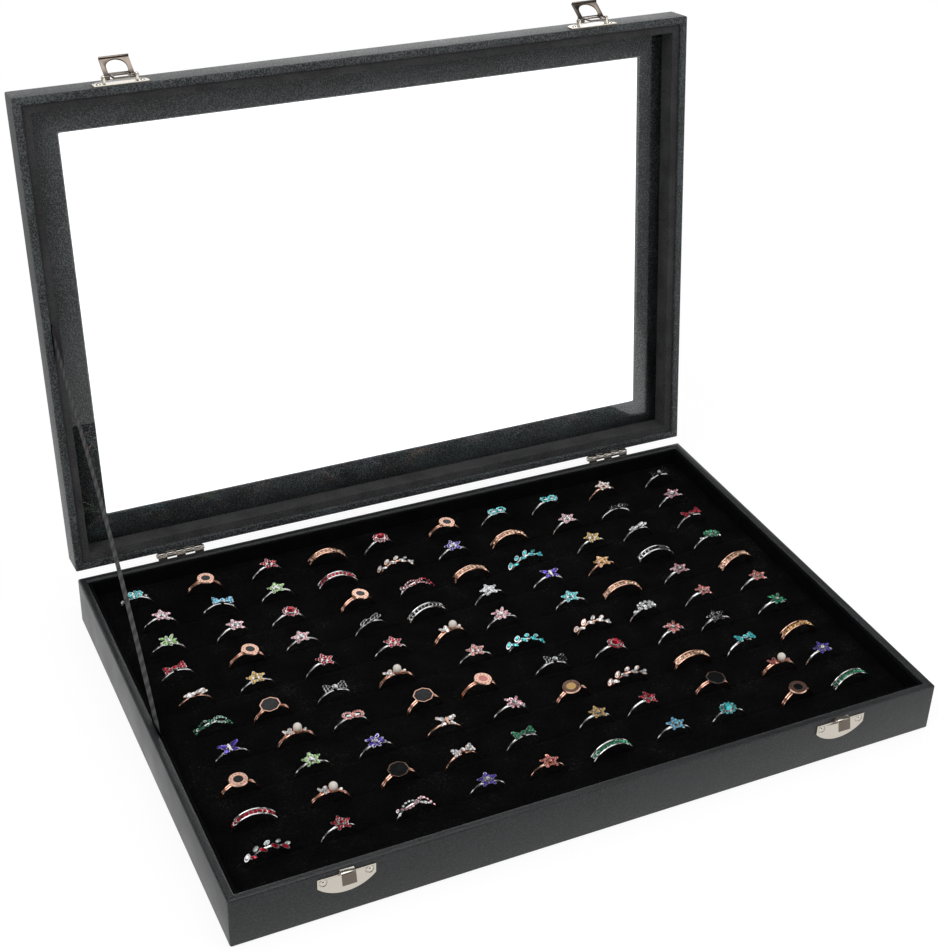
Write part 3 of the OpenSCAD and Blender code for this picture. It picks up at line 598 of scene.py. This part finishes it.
extra_y = [line + d * MM for line in row_y for d in NEAR_SLIT]
extra_y += [side * (pad_high.y - d * MM) for side in (-1, 1) for d in NEAR_EDGE]
extra_x = [side * (pad_high.x - d * MM) for side in (-1, 1) for d in NEAR_EDGE]
shape = bmesh.new()
bmesh.ops.create_grid(shape, x_segments=1, y_segments=1, size=1,
                      matrix=Matrix.Diagonal((pad_high.x, pad_high.y, 1, 1)))
for axis, lines in (((1, 0, 0), pad_lines(pad_low.x, pad_high.x, extra_x, STEP_X)),
                    ((0, 1, 0), pad_lines(pad_low.y, pad_high.y, extra_y, STEP_Y))):
    for line in lines[1:-1]:
        everything = [*shape.verts, *shape.edges, *shape.faces]
        bmesh.ops.bisect_plane(shape, geom=everything, dist=1e-7, plane_co=Vector(axis) * line,
                               plane_no=axis)
for vert in shape.verts:
    vert.co.z = pad_height(vert.co.x, vert.co.y)
skirt = bmesh.ops.extrude_edge_only(shape, edges=[e for e in shape.edges if e.is_boundary])["geom"]
for vert in [g for g in skirt if isinstance(g, bmesh.types.BMVert)]:
    vert.co.z = pad_low.z
bmesh.ops.edgeloop_fill(shape, edges=[e for e in shape.edges if e.is_boundary])
bmesh.ops.recalc_face_normals(shape, faces=shape.faces)
pad = make_piece("velvet_pad", shape, [pad_velvet], "base",
                 ["ring_pad_velvet", "ring_pad_foam"], smooth_degrees=60)

# %% [markdown]
# ## Rings: metal, stones and enamel
#
# Costume rings: cast alloy bands with rose-gold or rhodium plate, foil-backed
# paste stones, enamel plaques and moulded pearls. A material for each colour
# would make dozens. Instead each face carries its own colour in a "tint"
# attribute, and three materials read it: polished plate, paste stone, enamel.

# %% Ring materials
WEAR_MM = 2


def tinted(name, inputs):
    """A material whose colour comes from the mesh's tint attribute."""
    material, tree, shader = new_material(name, inputs)
    tint = add_node(tree, "Attribute", attribute_name="tint")
    place = add_node(tree, "TexCoord").outputs["Object"]
    wear = add_node(tree, "TexNoise", {"Vector": place, "Scale": per_mm(WEAR_MM), "Detail": 2.0})
    roughness = inputs["Roughness"]
    rough = add_node(tree, "MapRange", {"Value": wear, "To Min": roughness * 0.7,
                                        "To Max": roughness * 1.3})
    set_inputs(tree, shader, {"Base Color": tint, "Roughness": rough})
    return material


ring_plate = tinted("polished_ring_plate", {"Metallic": 1.0, "Roughness": 0.16})
paste_stone = tinted("foiled_paste_stone", {"Metallic": 0.55, "Roughness": 0.1, "IOR": 1.6})
ring_enamel = tinted("enamel_and_pearl", {"Roughness": 0.2, "Specular IOR Level": 0.25,
                                          "Coat Weight": 0.05})
METAL, STONE, ENAMEL = 0, 1, 2
TINTS = {name: linear(value) for name, value in {
    "rose": "#dcb09c", "silver": "#d6d5d5", "turquoise": "#45bfc4", "pink": "#dba0a8",
    "lime": "#93bd72", "red": "#a8142c", "green": "#1c7a54", "purple": "#5338a8",
    "yellow": "#cfa22e", "jet": "#0c0c0e", "sky": "#6fb4d6", "coral": "#d07f78",
    "clear": "#dfe3e6", "gold": "#cfa86a", "pearl": "#f2e9de", "champagne": "#d9b196"}.items()}
print("ring tints:", len(TINTS))

# %% [markdown]
# ## Building blocks of a ring
#
# A ring is drawn round its own centre with the head on top, in millimetres and
# radians, so a head can be made of a few shapes: a cut stone is an eight-sided
# cone with its tip taken off, a setting is a slightly wider cup under it, and
# a band is a small domed section spun round the finger's axis. Hundreds of
# stones are needed, so each has only a few faces, and each facet is painted
# lighter or darker at random: painted flashes of reflected light, as a foiled
# stone flashes on one facet and is dark on the next.

# %% Ring tools
rng = random.Random(7)


def unique(parts):
    """The parts of a shape that several of its points share, each once and in order."""
    return list(dict.fromkeys(parts))


class RingShape:
    """Collects the coloured shapes of the rings of one row."""

    def __init__(self):
        self.shape = bmesh.new()
        self.tint = self.shape.loops.layers.float_color.new("tint")
        self.place = Matrix.Identity(4)

    def paint(self, verts, finish, tint):
        """Gives the faces at some points a finish and a tint; on a stone, each facet's tint is painted
        lighter or darker, a painted flash.
        """
        for face in unique(f for v in verts for f in v.link_faces):
            face.material_index = finish
            # A stone facet's tint is scaled at random: lighter for a painted flash, darker for a painted
            # dark facet.
            painted_flash = rng.uniform(0.4, 1.9) if finish == STONE else 1
            for loop in face.loops:
                loop[self.tint] = [min(1, part * painted_flash) for part in TINTS[tint][:3]] + [1]

    def cone(self, at, r_low, r_high, height, finish, tint, sides=8, tip=0.0, stretch=(1, 1), turn=0.0):
        """A cone or cylinder standing on a point, tipped outwards and stretched."""
        matrix = (self.place @ Matrix.Translation(Vector(at) * MM) @ Matrix.Rotation(turn, 4, "Z")
                  @ Matrix.Rotation(tip, 4, "Y") @ Matrix.Diagonal((stretch[0], stretch[1], 1, 1))
                  @ Matrix.Translation((0, 0, height * MM / 2)))
        made = bmesh.ops.create_cone(self.shape, cap_ends=True, cap_tris=False, segments=sides,
                                     radius1=r_low * MM, radius2=r_high * MM, depth=height * MM,
                                     matrix=matrix)
        self.paint(made["verts"], finish, tint)

    def stone(self, at, radius, tint, metal, tip=0.0, **turns):
        """A cut stone in its cup, set by hand, so each is tipped a little its own way."""
        tip += rng.uniform(-0.22, 0.22)
        self.cone(at, radius * 0.8, radius + 0.12, radius * 0.5, METAL, metal, tip=tip, **turns)
        raised = (at[0], at[1], at[2] + radius * 0.45)
        self.cone(raised, radius, radius * 0.5, radius * 0.6, STONE, tint, tip=tip, **turns)

    def ball(self, at, radius, finish, tint):
        """A moulded ball."""
        matrix = self.place @ Matrix.Translation(Vector(at) * MM)
        made = bmesh.ops.create_icosphere(self.shape, subdivisions=3, radius=radius * MM, matrix=matrix)
        self.paint(made["verts"], finish, tint)

    def hoop(self, radius, thick, width, along, metal, steps=40, half_turn=180):
        """A domed band round the Y axis, or an arc of it over the top, centred at y = along."""
        start = math.radians(-90 - half_turn) if half_turn < 180 else 0
        section = bmesh.ops.create_circle(self.shape, cap_ends=False, segments=8,
                                          radius=0.5 * MM)["verts"]
        bmesh.ops.transform(self.shape, verts=section,
                            matrix=Matrix.Rotation(start, 4, "Y")
                            @ Matrix.Translation((radius * MM, along * MM, 0))
                            @ Matrix.Diagonal((thick, width, 1, 1)))
        before = set(self.shape.verts) - set(section)
        bmesh.ops.spin(self.shape, geom=section + unique(e for v in section for e in v.link_edges),
                       cent=(0, 0, 0), axis=(0, 1, 0), angle=math.radians(2 * half_turn),
                       steps=steps, use_merge=half_turn == 180)
        made = [v for v in self.shape.verts if v not in before]
        ends = [e for e in unique(e for v in made for e in v.link_edges) if e.is_boundary]
        bmesh.ops.holes_fill(self.shape, edges=ends, sides=8)
        bmesh.ops.recalc_face_normals(self.shape, faces=unique(f for v in made for f in v.link_faces))
        bmesh.ops.transform(self.shape, verts=made, matrix=self.place)
        self.paint(made, METAL, metal)


def around(count, radius, start=0.0):
    """Points evenly round a circle, each with its angle."""
    for i in range(count):
        angle = start + math.tau * i / count
        yield radius * math.cos(angle), radius * math.sin(angle), angle


print("ring tools ready")

# %% [markdown]
# ## Ring heads
#
# The heads are the usual ones of a costume-jewellery tray: flowers, bows,
# vines, butterflies, pearls, plaques and stone-set bands. Each is a short
# recipe of stones and cups round the top of the band, whose height above the
# ring's centre is given once.

# %% Flowers, stars and round heads
TOP = 9.7


def flower(ring, tint, metal):
    """Five petals of three stones each, a small stone between each two, and a centre stone."""
    ring.cone((0, 0, TOP - 0.4), 1.4, 2.6, 0.9, METAL, metal, sides=10)
    for x, y, angle in around(5, 1.0, 0.3):
        across = (-y * 0.62, x * 0.62)
        ring.stone((x * 3.3, y * 3.3, TOP + 0.3), 0.7, tint, metal, turn=angle, stretch=(1.2, 0.9))
        for side in (-1, 1):
            ring.stone((x * 2.1 + side * across[0], y * 2.1 + side * across[1], TOP + 0.45), 0.62,
                       tint, metal)
    for x, y, angle in around(5, 1.9, 0.3 + math.pi / 5):
        ring.stone((x, y, TOP + 0.3), 0.4, "clear", metal, turn=angle)
    centre = "clear" if tint in ("pink", "purple", "lime") else tint
    ring.stone((0, 0, TOP + 0.7), 0.95, centre, metal)


def star(ring, tint, metal):
    """Eight narrow rays in two heights."""
    ring.cone((0, 0, TOP - 0.4), 1.2, 2.0, 0.9, METAL, metal, sides=12)
    for i, (x, y, angle) in enumerate(around(8, 2.4, 0.2)):
        reach = 1.15 if i % 2 else 0.85
        ring.stone((x * reach, y * reach, TOP + 0.3 + 0.3 * (i % 2)), 0.85, tint, metal, turn=angle,
                   stretch=(1.8, 0.8))
    ring.stone((0, 0, TOP + 0.9), 0.8, "clear", metal)


def gem(ring, tint, metal):
    """A round stone in a ring of small ones."""
    ring.cone((0, 0, TOP - 0.4), 1.6, 2.9, 0.9, METAL, metal, sides=12)
    for x, y, angle in around(12, 3.0):
        ring.stone((x, y, TOP + 0.4), 0.6, tint, metal, turn=angle)
    ring.stone((0, 0, TOP + 0.4), 2.0, tint, metal)


def oval(ring, tint, metal):
    """A long dome of small stones, with stepped shoulders on the band."""
    ring.cone((0, 0, TOP - 0.4), 1.8, 2.8, 1.0, METAL, metal, sides=16, stretch=(1.35, 0.9))
    for x, y, angle in around(6, 1.25):
        ring.stone((x * 1.5, y, TOP + 0.9), 0.75, tint, metal, turn=angle)
    for x, y, angle in around(10, 2.6):
        ring.stone((x * 1.4, y * 0.85, TOP + 0.45), 0.7, tint, metal, turn=angle)
    for side in (-1, 1):
        ring.stone((side * 5.2, 0, TOP - 1.5), 0.7, "clear", metal, tip=side * 0.5)


print("round heads start", TOP, "mm above the ring's centre")


# %% Bows, wings, leaves and loops
def bow(ring, tint, metal):
    """Two flared wings of stones and a knot."""
    ring.cone((0, 0, TOP - 0.3), 1.0, 1.4, 1.2, METAL, metal, sides=8)
    for side in (-1, 1):
        for x, y, size in ((1.6, 0, 0.75), (2.7, 0.9, 0.8), (2.7, -0.9, 0.8), (3.9, 1.6, 0.8),
                           (3.9, 0, 0.8), (3.9, -1.6, 0.8)):
            ring.stone((side * x, y, TOP + 0.5 + 0.08 * x), size, tint, metal)
    ring.stone((0, 0, TOP + 1.0), 0.95, "clear" if tint == "jet" else tint, metal)


def butterfly(ring, tint, metal):
    """Two upper and two lower wings on a slim body."""
    ring.cone((0, 0, TOP), 0.6, 0.8, 1.4, METAL, metal, stretch=(0.7, 2.6))
    for side in (-1, 1):
        ring.stone((side * 1.9, 1.2, TOP + 0.5), 1.2, tint, metal, stretch=(1.3, 1), turn=side * 0.6)
        ring.stone((side * 3.5, 2.1, TOP + 0.7), 0.9, tint, metal)
        ring.stone((side * 1.6, -1.4, TOP + 0.4), 1.0, tint, metal, turn=-side * 0.6)
        ring.stone((side * 2.7, -1.9, TOP + 0.4), 0.6, tint, metal)


def vine(ring, tint, metal):
    """Leaves along the arc of the band, one to each side in turn."""
    for i in range(-4, 5):
        angle = i * 0.23
        at = (10.0 * math.sin(angle), 1.25 * (-1) ** i, 10.0 * math.cos(angle) - 0.4)
        leaf_tint = tint if i % 2 or tint == "turquoise" else "clear"
        ring.stone(at, 1.0, leaf_tint, metal, stretch=(1.6, 0.9), turn=0.8 * (-1) ** i, tip=0.5 * angle)


def leaf(ring, tint, metal):
    """Two sprays that part over the top of the band."""
    for side in (-1, 1):
        for x, y, size in ((1.3, 0.5, 1.0), (2.9, 1.1, 1.05), (4.2, 0.3, 0.8), (2.6, -0.5, 0.7)):
            ring.stone((side * x, side * y, TOP + 0.5 - 0.12 * x), size, tint, metal,
                       stretch=(1.5, 0.8), turn=0.5)
    ring.cone((0, 0, TOP - 0.4), 0.7, 1.0, 0.9, METAL, metal, stretch=(3.0, 0.8))


def loops(ring, tint, metal):
    """Two open loops of small stones, as in a knot."""
    for side in (-1, 1):
        for x, y, angle in around(11, 1.9, 0.35):
            ring.stone((side * 2.2 + x, y * 0.95, TOP + 0.3 + 0.1 * side), 0.55, tint, metal,
                       turn=angle)
    ring.cone((0, 0, TOP - 0.4), 0.7, 0.9, 0.8, METAL, metal, stretch=(3.6, 0.8))


print("open heads ready")


# %% Discs, plaques, pearls and set bands
def disc(ring, tint, metal):
    """A dished disc with a dark centre and a ring of small strokes round it."""
    ring.cone((0, 0, TOP), 3.5, 4.0, 0.6, METAL, metal, sides=28)
    ring.cone((0, 0, TOP + 0.6), 4.0, 3.7, 0.5, METAL, metal, sides=28)
    ring.cone((0, 0, TOP + 1.1), 2.05, 1.9, 0.1, ENAMEL, tint, sides=24)
    for x, y, angle in around(12, 2.95):
        ring.cone((x, y, TOP + 1.08), 0.4, 0.3, 0.12, ENAMEL, "jet", sides=4, turn=angle + math.pi / 4,
                  stretch=(1, 0.45))


def plaque(ring, tint, metal):
    """An enamelled eight-sided plaque in a thin frame."""
    ring.cone((0, 0, TOP), 3.9, 4.4, 1.0, METAL, metal, turn=math.pi / 8)
    ring.cone((0, 0, TOP + 1.0), 4.0, 3.8, 0.2, ENAMEL, tint, turn=math.pi / 8)


def pearl(ring, tint, metal):
    """A pearl beside a small spray."""
    ring.cone((1.2, 0, TOP - 0.3), 1.0, 1.8, 0.8, METAL, metal, sides=12)
    ring.ball((1.2, 0, TOP + 1.9), 1.8, ENAMEL, "pearl")
    for x, y, size in ((-1.9, 0.9, 1.0), (-3.2, 0.2, 0.9), (-2.0, -0.9, 0.9), (-4.1, 1.2, 0.7),
                       (3.9, -0.8, 0.7)):
        ring.stone((x, y, TOP + 0.4 - 0.1 * abs(x)), size, tint, metal, stretch=(1.4, 0.9), turn=x)


def band(ring, tint, metal):
    """A wide top between two rails, set with one row of stones."""
    for side in (-1, 1):
        ring.hoop(9.9, 1.0, 0.7, side * 1.45, metal, steps=16, half_turn=62)
    for i in range(-5, 6):
        angle = i * 0.19
        at = (9.6 * math.sin(angle), 0, 9.6 * math.cos(angle))
        ring.stone(at, 0.95, tint, metal, tip=angle)


def twist(ring, tint, metal):
    """Two strands that cross over the top, both set with small stones."""
    for i in range(-6, 7):
        angle = i * 0.14
        swing = 1.7 * math.sin(i * 0.62)
        at = (10.1 * math.sin(angle), swing, 10.1 * math.cos(angle) - 0.4)
        ring.stone(at, 0.65, tint, metal, tip=angle)
        second = "clear" if tint == "pink" else tint
        ring.stone((at[0], -swing, at[2] - 0.2), 0.55, second, metal, tip=angle)


HEADS = {f.__name__: f for f in (flower, star, gem, oval, bow, butterfly, vine, leaf, loops, disc,
                                 plaque, pearl, band, twist)}
print("heads:", ", ".join(HEADS))

# %% [markdown]
# ## Setting out the rings
#
# A hundred rings are set out by hand, ten to a row, so none stands quite
# straight: each has its own small step to the side, a few degrees of turn and
# lean. The list gives kind and stone for each, and "rose" where the metal
# isn't silver; two lines are a row, from the back row to the front one. The
# shifts are in millimetres, a line for each row.

# %% Rows of rings
RINGS = """
oval turquoise|disc jet rose|flower red|band champagne rose|gem red
disc jet rose|loops turquoise|loops turquoise|flower clear rose|bow jet
flower pink|bow sky|flower lime|band red|vine clear rose
flower purple|band champagne rose|flower pink|leaf jet|flower pink
star lime|flower pink|gem red|disc jet rose|twist red
band champagne rose|vine turquoise|flower yellow|leaf clear|bow red
bow red|disc jet rose|flower pink|leaf jet|band jet
flower clear|butterfly purple|flower gold rose|band jet|oval green
leaf clear rose|flower yellow|flower red|flower red|pearl clear rose
star pink|flower turquoise|band champagne rose|flower pink|band champagne rose
twist green|plaque jet rose|bow jet|pearl clear rose|flower coral
vine turquoise|vine clear rose|oval clear|flower coral|flower coral
butterfly purple|pearl clear rose|loops coral|plaque jet rose|disc coral rose
bow jet|gem red|star coral|flower jet|star green
disc jet rose|flower lime|star purple|butterfly clear rose|star pink
disc gold rose|vine clear rose|band champagne rose|bow turquoise|band gold rose
band red|pearl clear rose|plaque jet rose|bow clear rose|bow green
flower gold|flower red|plaque jet rose|pearl coral rose|flower purple
vine red|flower red|twist pink|flower purple|flower coral rose
band green|flower sky|gem turquoise|disc jet rose|band green
"""
SHIFTS = """
-4 -1 0 0 -3 2 0 -2 1 4
2 0 -2 -2 -2 -2 -2 0 -2 1
0 0 -4 0 0 -2 -2 4 -1 0
-2 0 -4 -1 -3 -1 0 -1 -2 -2
0 -2 -2 1 0 -4 2 -1 0 2
2 -2 -4 -5 4 -2 3 0 0 1
4 2 -4 0 -4 2 2 4 -3 -2
0 2 0 1 2 2 0 2 -2 -2
0 2 2 0 -2 3 -4 1 6 -2
-1 -2 0 3 0 0 0 -3 2 0
"""
rings = RINGS.strip().replace("\n", "|").split("|")
shifts = [int(shift) * MM for shift in SHIFTS.split()]
IN_A_ROW = 10
PITCH = 32.5 * MM
FIRST_X = pad_low.x + 21.1 * MM
RING_SINK = 2.4 * MM
MAX_TURN, MAX_LEAN = 7, 9
HEAD_SCALE, HEAD_FOOT = 1.12, 9 * MM
ON_WIDE_BANDS = ("disc", "band", "pearl", "plaque")
WIDE_BAND = {"radius": 9.3, "thick": 1.2, "width": 1.0}
SLIM_BAND = {"radius": 9.25, "thick": 0.9, "width": 1.05}
BAND_APART = 0.62
grown_head = (Matrix.Translation((0, 0, HEAD_FOOT)) @ Matrix.Scale(HEAD_SCALE, 4)
              @ Matrix.Translation((0, 0, -HEAD_FOOT)))


def set_ring(ring, kind, tint, metal="silver"):
    """A ring at its place in the row: its band, wide or slim, and its head."""
    turn = math.radians(rng.uniform(-MAX_TURN, MAX_TURN))
    lean = math.radians(rng.uniform(-MAX_LEAN, MAX_LEAN))
    ring.place = ring.place @ Matrix.Rotation(turn, 4, "Z") @ Matrix.Rotation(lean, 4, "Y")
    if kind in ON_WIDE_BANDS:
        ring.hoop(along=-BAND_APART, metal=metal, **WIDE_BAND)
        ring.hoop(along=BAND_APART, metal=metal, **WIDE_BAND)
    else:
        ring.hoop(along=0, metal=metal, **SLIM_BAND)
    ring.place = ring.place @ grown_head
    HEADS[kind](ring, tint, metal)


for number, y in enumerate(row_y):
    row = RingShape()
    for column in range(IN_A_ROW):
        index = number * IN_A_ROW + column
        x = FIRST_X + column * PITCH + shifts[index]
        row.place = Matrix.Translation((x, y, pad_high.z - RING_SINK))
        set_ring(row, *rings[index].split())
    node = f"ring_row_{number + 1}"
    make_piece(node + "_set", row.shape, [ring_plate, paste_stone, ring_enamel], "base",
               [node], smooth_degrees=32)

# %% [markdown]
# ## The stay ribbon
#
# A woven grosgrain ribbon keeps the lid from falling back. Both tails are
# glued behind the liners, and the open lid's weight draws it straight. It is
# a flat strip, so it is drawn as a chain of cross lines from the lower tail
# to the upper one, twisted a few degrees as a strip glued by hand is. Its
# upper part is drawn with the lid open, so it bends at the lid's edge; it
# rides on neither body. Real ribs are under a millimetre apart, too fine to
# show here, so they are drawn 5 mm apart. A wave texture repeats 20 / tau
# times in a unit, which its scale takes off.

# %% Ribbon cloth
RIB_MM, FUZZ_MM = 5.053, 0.9
WAVES_IN_A_UNIT = 20 / math.tau
ribbon_cloth, tree, shader = new_material("woven_ribbon", {"Roughness": 0.85, "Sheen Weight": 0.05,
                                                           "Specular IOR Level": 0.25})
strip = add_node(tree, "UVMap", uv_map="strip")
ribs = add_node(tree, "TexWave", {"Vector": strip, "Scale": per_mm(RIB_MM) / WAVES_IN_A_UNIT,
                                  "Distortion": 0.6, "Detail": 1.0}, bands_direction="Y")
fuzz = add_node(tree, "TexNoise", {"Vector": strip, "Scale": per_mm(FUZZ_MM), "Detail": 2.0})
weave = add_node(tree, "Mix", {"Factor": 0.6, "A": ribs.outputs["Fac"], "B": fuzz})
dress(tree, shader, weave, [(0.35, "#121212"), (0.65, "#484849")], weave, 0.7, 0.15)

# %% Ribbon
ribbon_low, ribbon_high = (Vector(corner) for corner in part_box("stay_ribbon"))
RIBBON_WIDE, RIBBON_THICK = 10 * MM, 0.4 * MM
RIBBON_PLACE = Vector(((ribbon_low.x + ribbon_high.x) / 2, -6.0 * MM, 0))
TAIL_LOW, EDGE_LOW, EDGE_HIGH, TAIL_HIGH = 15.8, 27.4, 28.4, 38.0
RIBBON_BOW = 1.8 * MM
TWIST_LOW, TWIST_HIGH, TWIST_FADE = -3.5, 3.0, 8
CORNER_ROUND = 6 * MM


def at_height(z):
    """A point of the ribbon's line with the lid shut, at a height in millimetres."""
    return RIBBON_PLACE + Vector((0, 0, z * MM))


corners = [at_height(TAIL_LOW), at_height(EDGE_LOW),
           LID_OPEN @ at_height(EDGE_HIGH), LID_OPEN @ at_height(TAIL_HIGH)]
spans = [end - start for start, end in zip(corners, corners[1:])]
ribbon_length = sum(span.length for span in spans)
facings = [Vector((1, 0, 0)).cross(span).normalized() for span in spans]


def ribbon_at(distance):
    """Centre and crosswise direction of the ribbon at a distance from its lower end."""
    past_low = distance - spans[0].length
    near_low = min(1, max(0, past_low / CORNER_ROUND + 0.5))
    near_high = min(1, max(0, (past_low - spans[1].length) / CORNER_ROUND + 0.5))
    facing = facings[0].lerp(facings[1], near_low).lerp(facings[2], near_high).normalized()
    for corner, span in zip(corners, spans):
        if distance <= span.length or span is spans[-1]:
            break
        distance -= span.length
    centre = corner + span.normalized() * distance
    if span is spans[1]:
        share = distance / span.length
        centre += Vector((RIBBON_BOW * math.sin(math.pi * share), 0, 0))
        twist = math.radians(TWIST_LOW + (TWIST_HIGH - TWIST_LOW) * share)
        twist *= min(1, TWIST_FADE * share, TWIST_FADE * (1 - share))
        facing = Matrix.Rotation(-twist, 3, span.normalized()) @ facing
    return centre, facing


shape = bmesh.new()
strip_uv = shape.loops.layers.uv.new("strip")
bmesh.ops.create_grid(shape, x_segments=4, y_segments=84, size=1, calc_uvs=True)
for face in shape.faces:
    for loop in face.loops:
        across, along = ((part + 1) / 2 for part in loop.vert.co.xy)
        loop[strip_uv].uv = (across * RIBBON_WIDE, along * ribbon_length)
for vert in shape.verts:
    centre, facing = ribbon_at((vert.co.y + 1) / 2 * ribbon_length)
    vert.co = centre + facing * vert.co.x * RIBBON_WIDE / 2
bmesh.ops.solidify(shape, geom=list(shape.faces), thickness=RIBBON_THICK)
bmesh.ops.recalc_face_normals(shape, faces=shape.faces)
ribbon = make_piece("stay_ribbon_strip", shape, [ribbon_cloth], None, ["stay_ribbon"])
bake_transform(ribbon)
print(ribbon.name, "is", round(ribbon_length / MM, 1), "mm long")

# %% [markdown]
# ## Room, floor and lamps
#
# Goods are photographed on a white sweep under large soft boxes. The floor
# takes shadows but shows white to the camera, and to mirrors and glass; the
# lamps and a dim room light the object, at a level at which colours keep their
# value. What bright metal and gloss mirror falls off outwards and upwards,
# since the light lies in a pool round the box and the room beyond is dark, but
# for the large box overhead, whose light runs along the tops of the ring bands.

# %% Floor and world
WHITE = (1, 1, 1, 1)


def by_ray(tree, usual, other):
    """A value that is usual for light on the object, and other for the kinds of ray named."""
    path = add_node(tree, "LightPath")
    value = usual
    for kind, level in other.items():
        value = add_node(tree, "Mix", {"Factor": path.outputs[kind], "A": value, "B": level})
    return value


world = bpy.data.worlds.new("studio")
scene.world = world
world.use_nodes = True
tree = world.node_tree
direction = add_node(tree, "TexCoord").outputs["Generated"]
height = add_node(tree, "SeparateXYZ", {"Vector": direction}).outputs["Z"]
mirrored = add_node(tree, "MapRange", {"Value": height, "From Min": 0.27, "From Max": 0.35,
                                       "To Min": 1.25, "To Max": 0.1})
overhead = add_node(tree, "MapRange", {"Value": height, "From Min": 0.84, "From Max": 0.92,
                                       "To Min": 0.0, "To Max": 1.5})
seen_in_gloss = add_node(tree, "Math", {0: mirrored, 1: overhead}, operation="ADD")
strength = by_ray(tree, 0.45, {"Is Glossy Ray": seen_in_gloss, "Is Camera Ray": 1.12,
                               "Is Transmission Ray": 1.3})
set_inputs(tree, tree.nodes["Background"], {"Color": WHITE, "Strength": strength})

sweep, tree, shader = new_material("white_sweep", {"Base Color": linear("#f4f4f4"), "Roughness": 0.9,
                                                   "Specular IOR Level": 0.1})
spot = add_node(tree, "TexCoord").outputs["Object"]
reach = add_node(tree, "VectorMath", {0: spot}, operation="LENGTH").outputs["Value"]
pool = add_node(tree, "MapRange", {"Value": reach, "From Min": 0.3, "From Max": 0.6,
                                   "To Min": 0.88, "To Max": 0.45})
glow = by_ray(tree, 1.12, {"Is Glossy Ray": pool, "Is Transmission Ray": 1.35})
light = add_node(tree, "Emission", {"Color": WHITE, "Strength": glow})
share = by_ray(tree, 0.0, {"Is Camera Ray": 0.78, "Is Glossy Ray": 0.85, "Is Transmission Ray": 1.0})
mixed = add_node(tree, "MixShader", {0: share, 1: shader, 2: light})
set_inputs(tree, tree.nodes["Material Output"], {"Surface": mixed})
shape = bmesh.new()
bmesh.ops.create_grid(shape, x_segments=1, y_segments=1, size=6)
floor_mesh = bpy.data.meshes.new("floor")
shape.to_mesh(floor_mesh)
shape.free()
floor_mesh.materials.append(sweep)
floor = bpy.data.objects.new("floor", floor_mesh)
scene.collection.objects.link(floor)
print("floor and world ready")

# %% Lamps
AIM = Vector((0, 0, 0.1))
LAMPS = {"key": ((-1.3, -0.7, 1.7), 1.1, 10.5), "fill": ((1.4, -1.2, 1.3), 1.2, 6),
         "top": ((0.1, 0.3, 2.1), 1.0, 4), "behind": ((0.95, 2.3, 0.75), 0.8, 2.5)}
for name, (place, size, power) in LAMPS.items():
    lamp = bpy.data.lights.new(name, "AREA")
    lamp.shape, lamp.size, lamp.energy = "SQUARE", size, power
    holder = bpy.data.objects.new(name, lamp)
    scene.collection.objects.link(holder)
    holder.location = place
    holder.rotation_euler = (AIM - Vector(place)).to_track_quat("-Z", "Y").to_euler()
scene.view_settings.view_transform = "Standard"
print(len(LAMPS), "lamps ready")
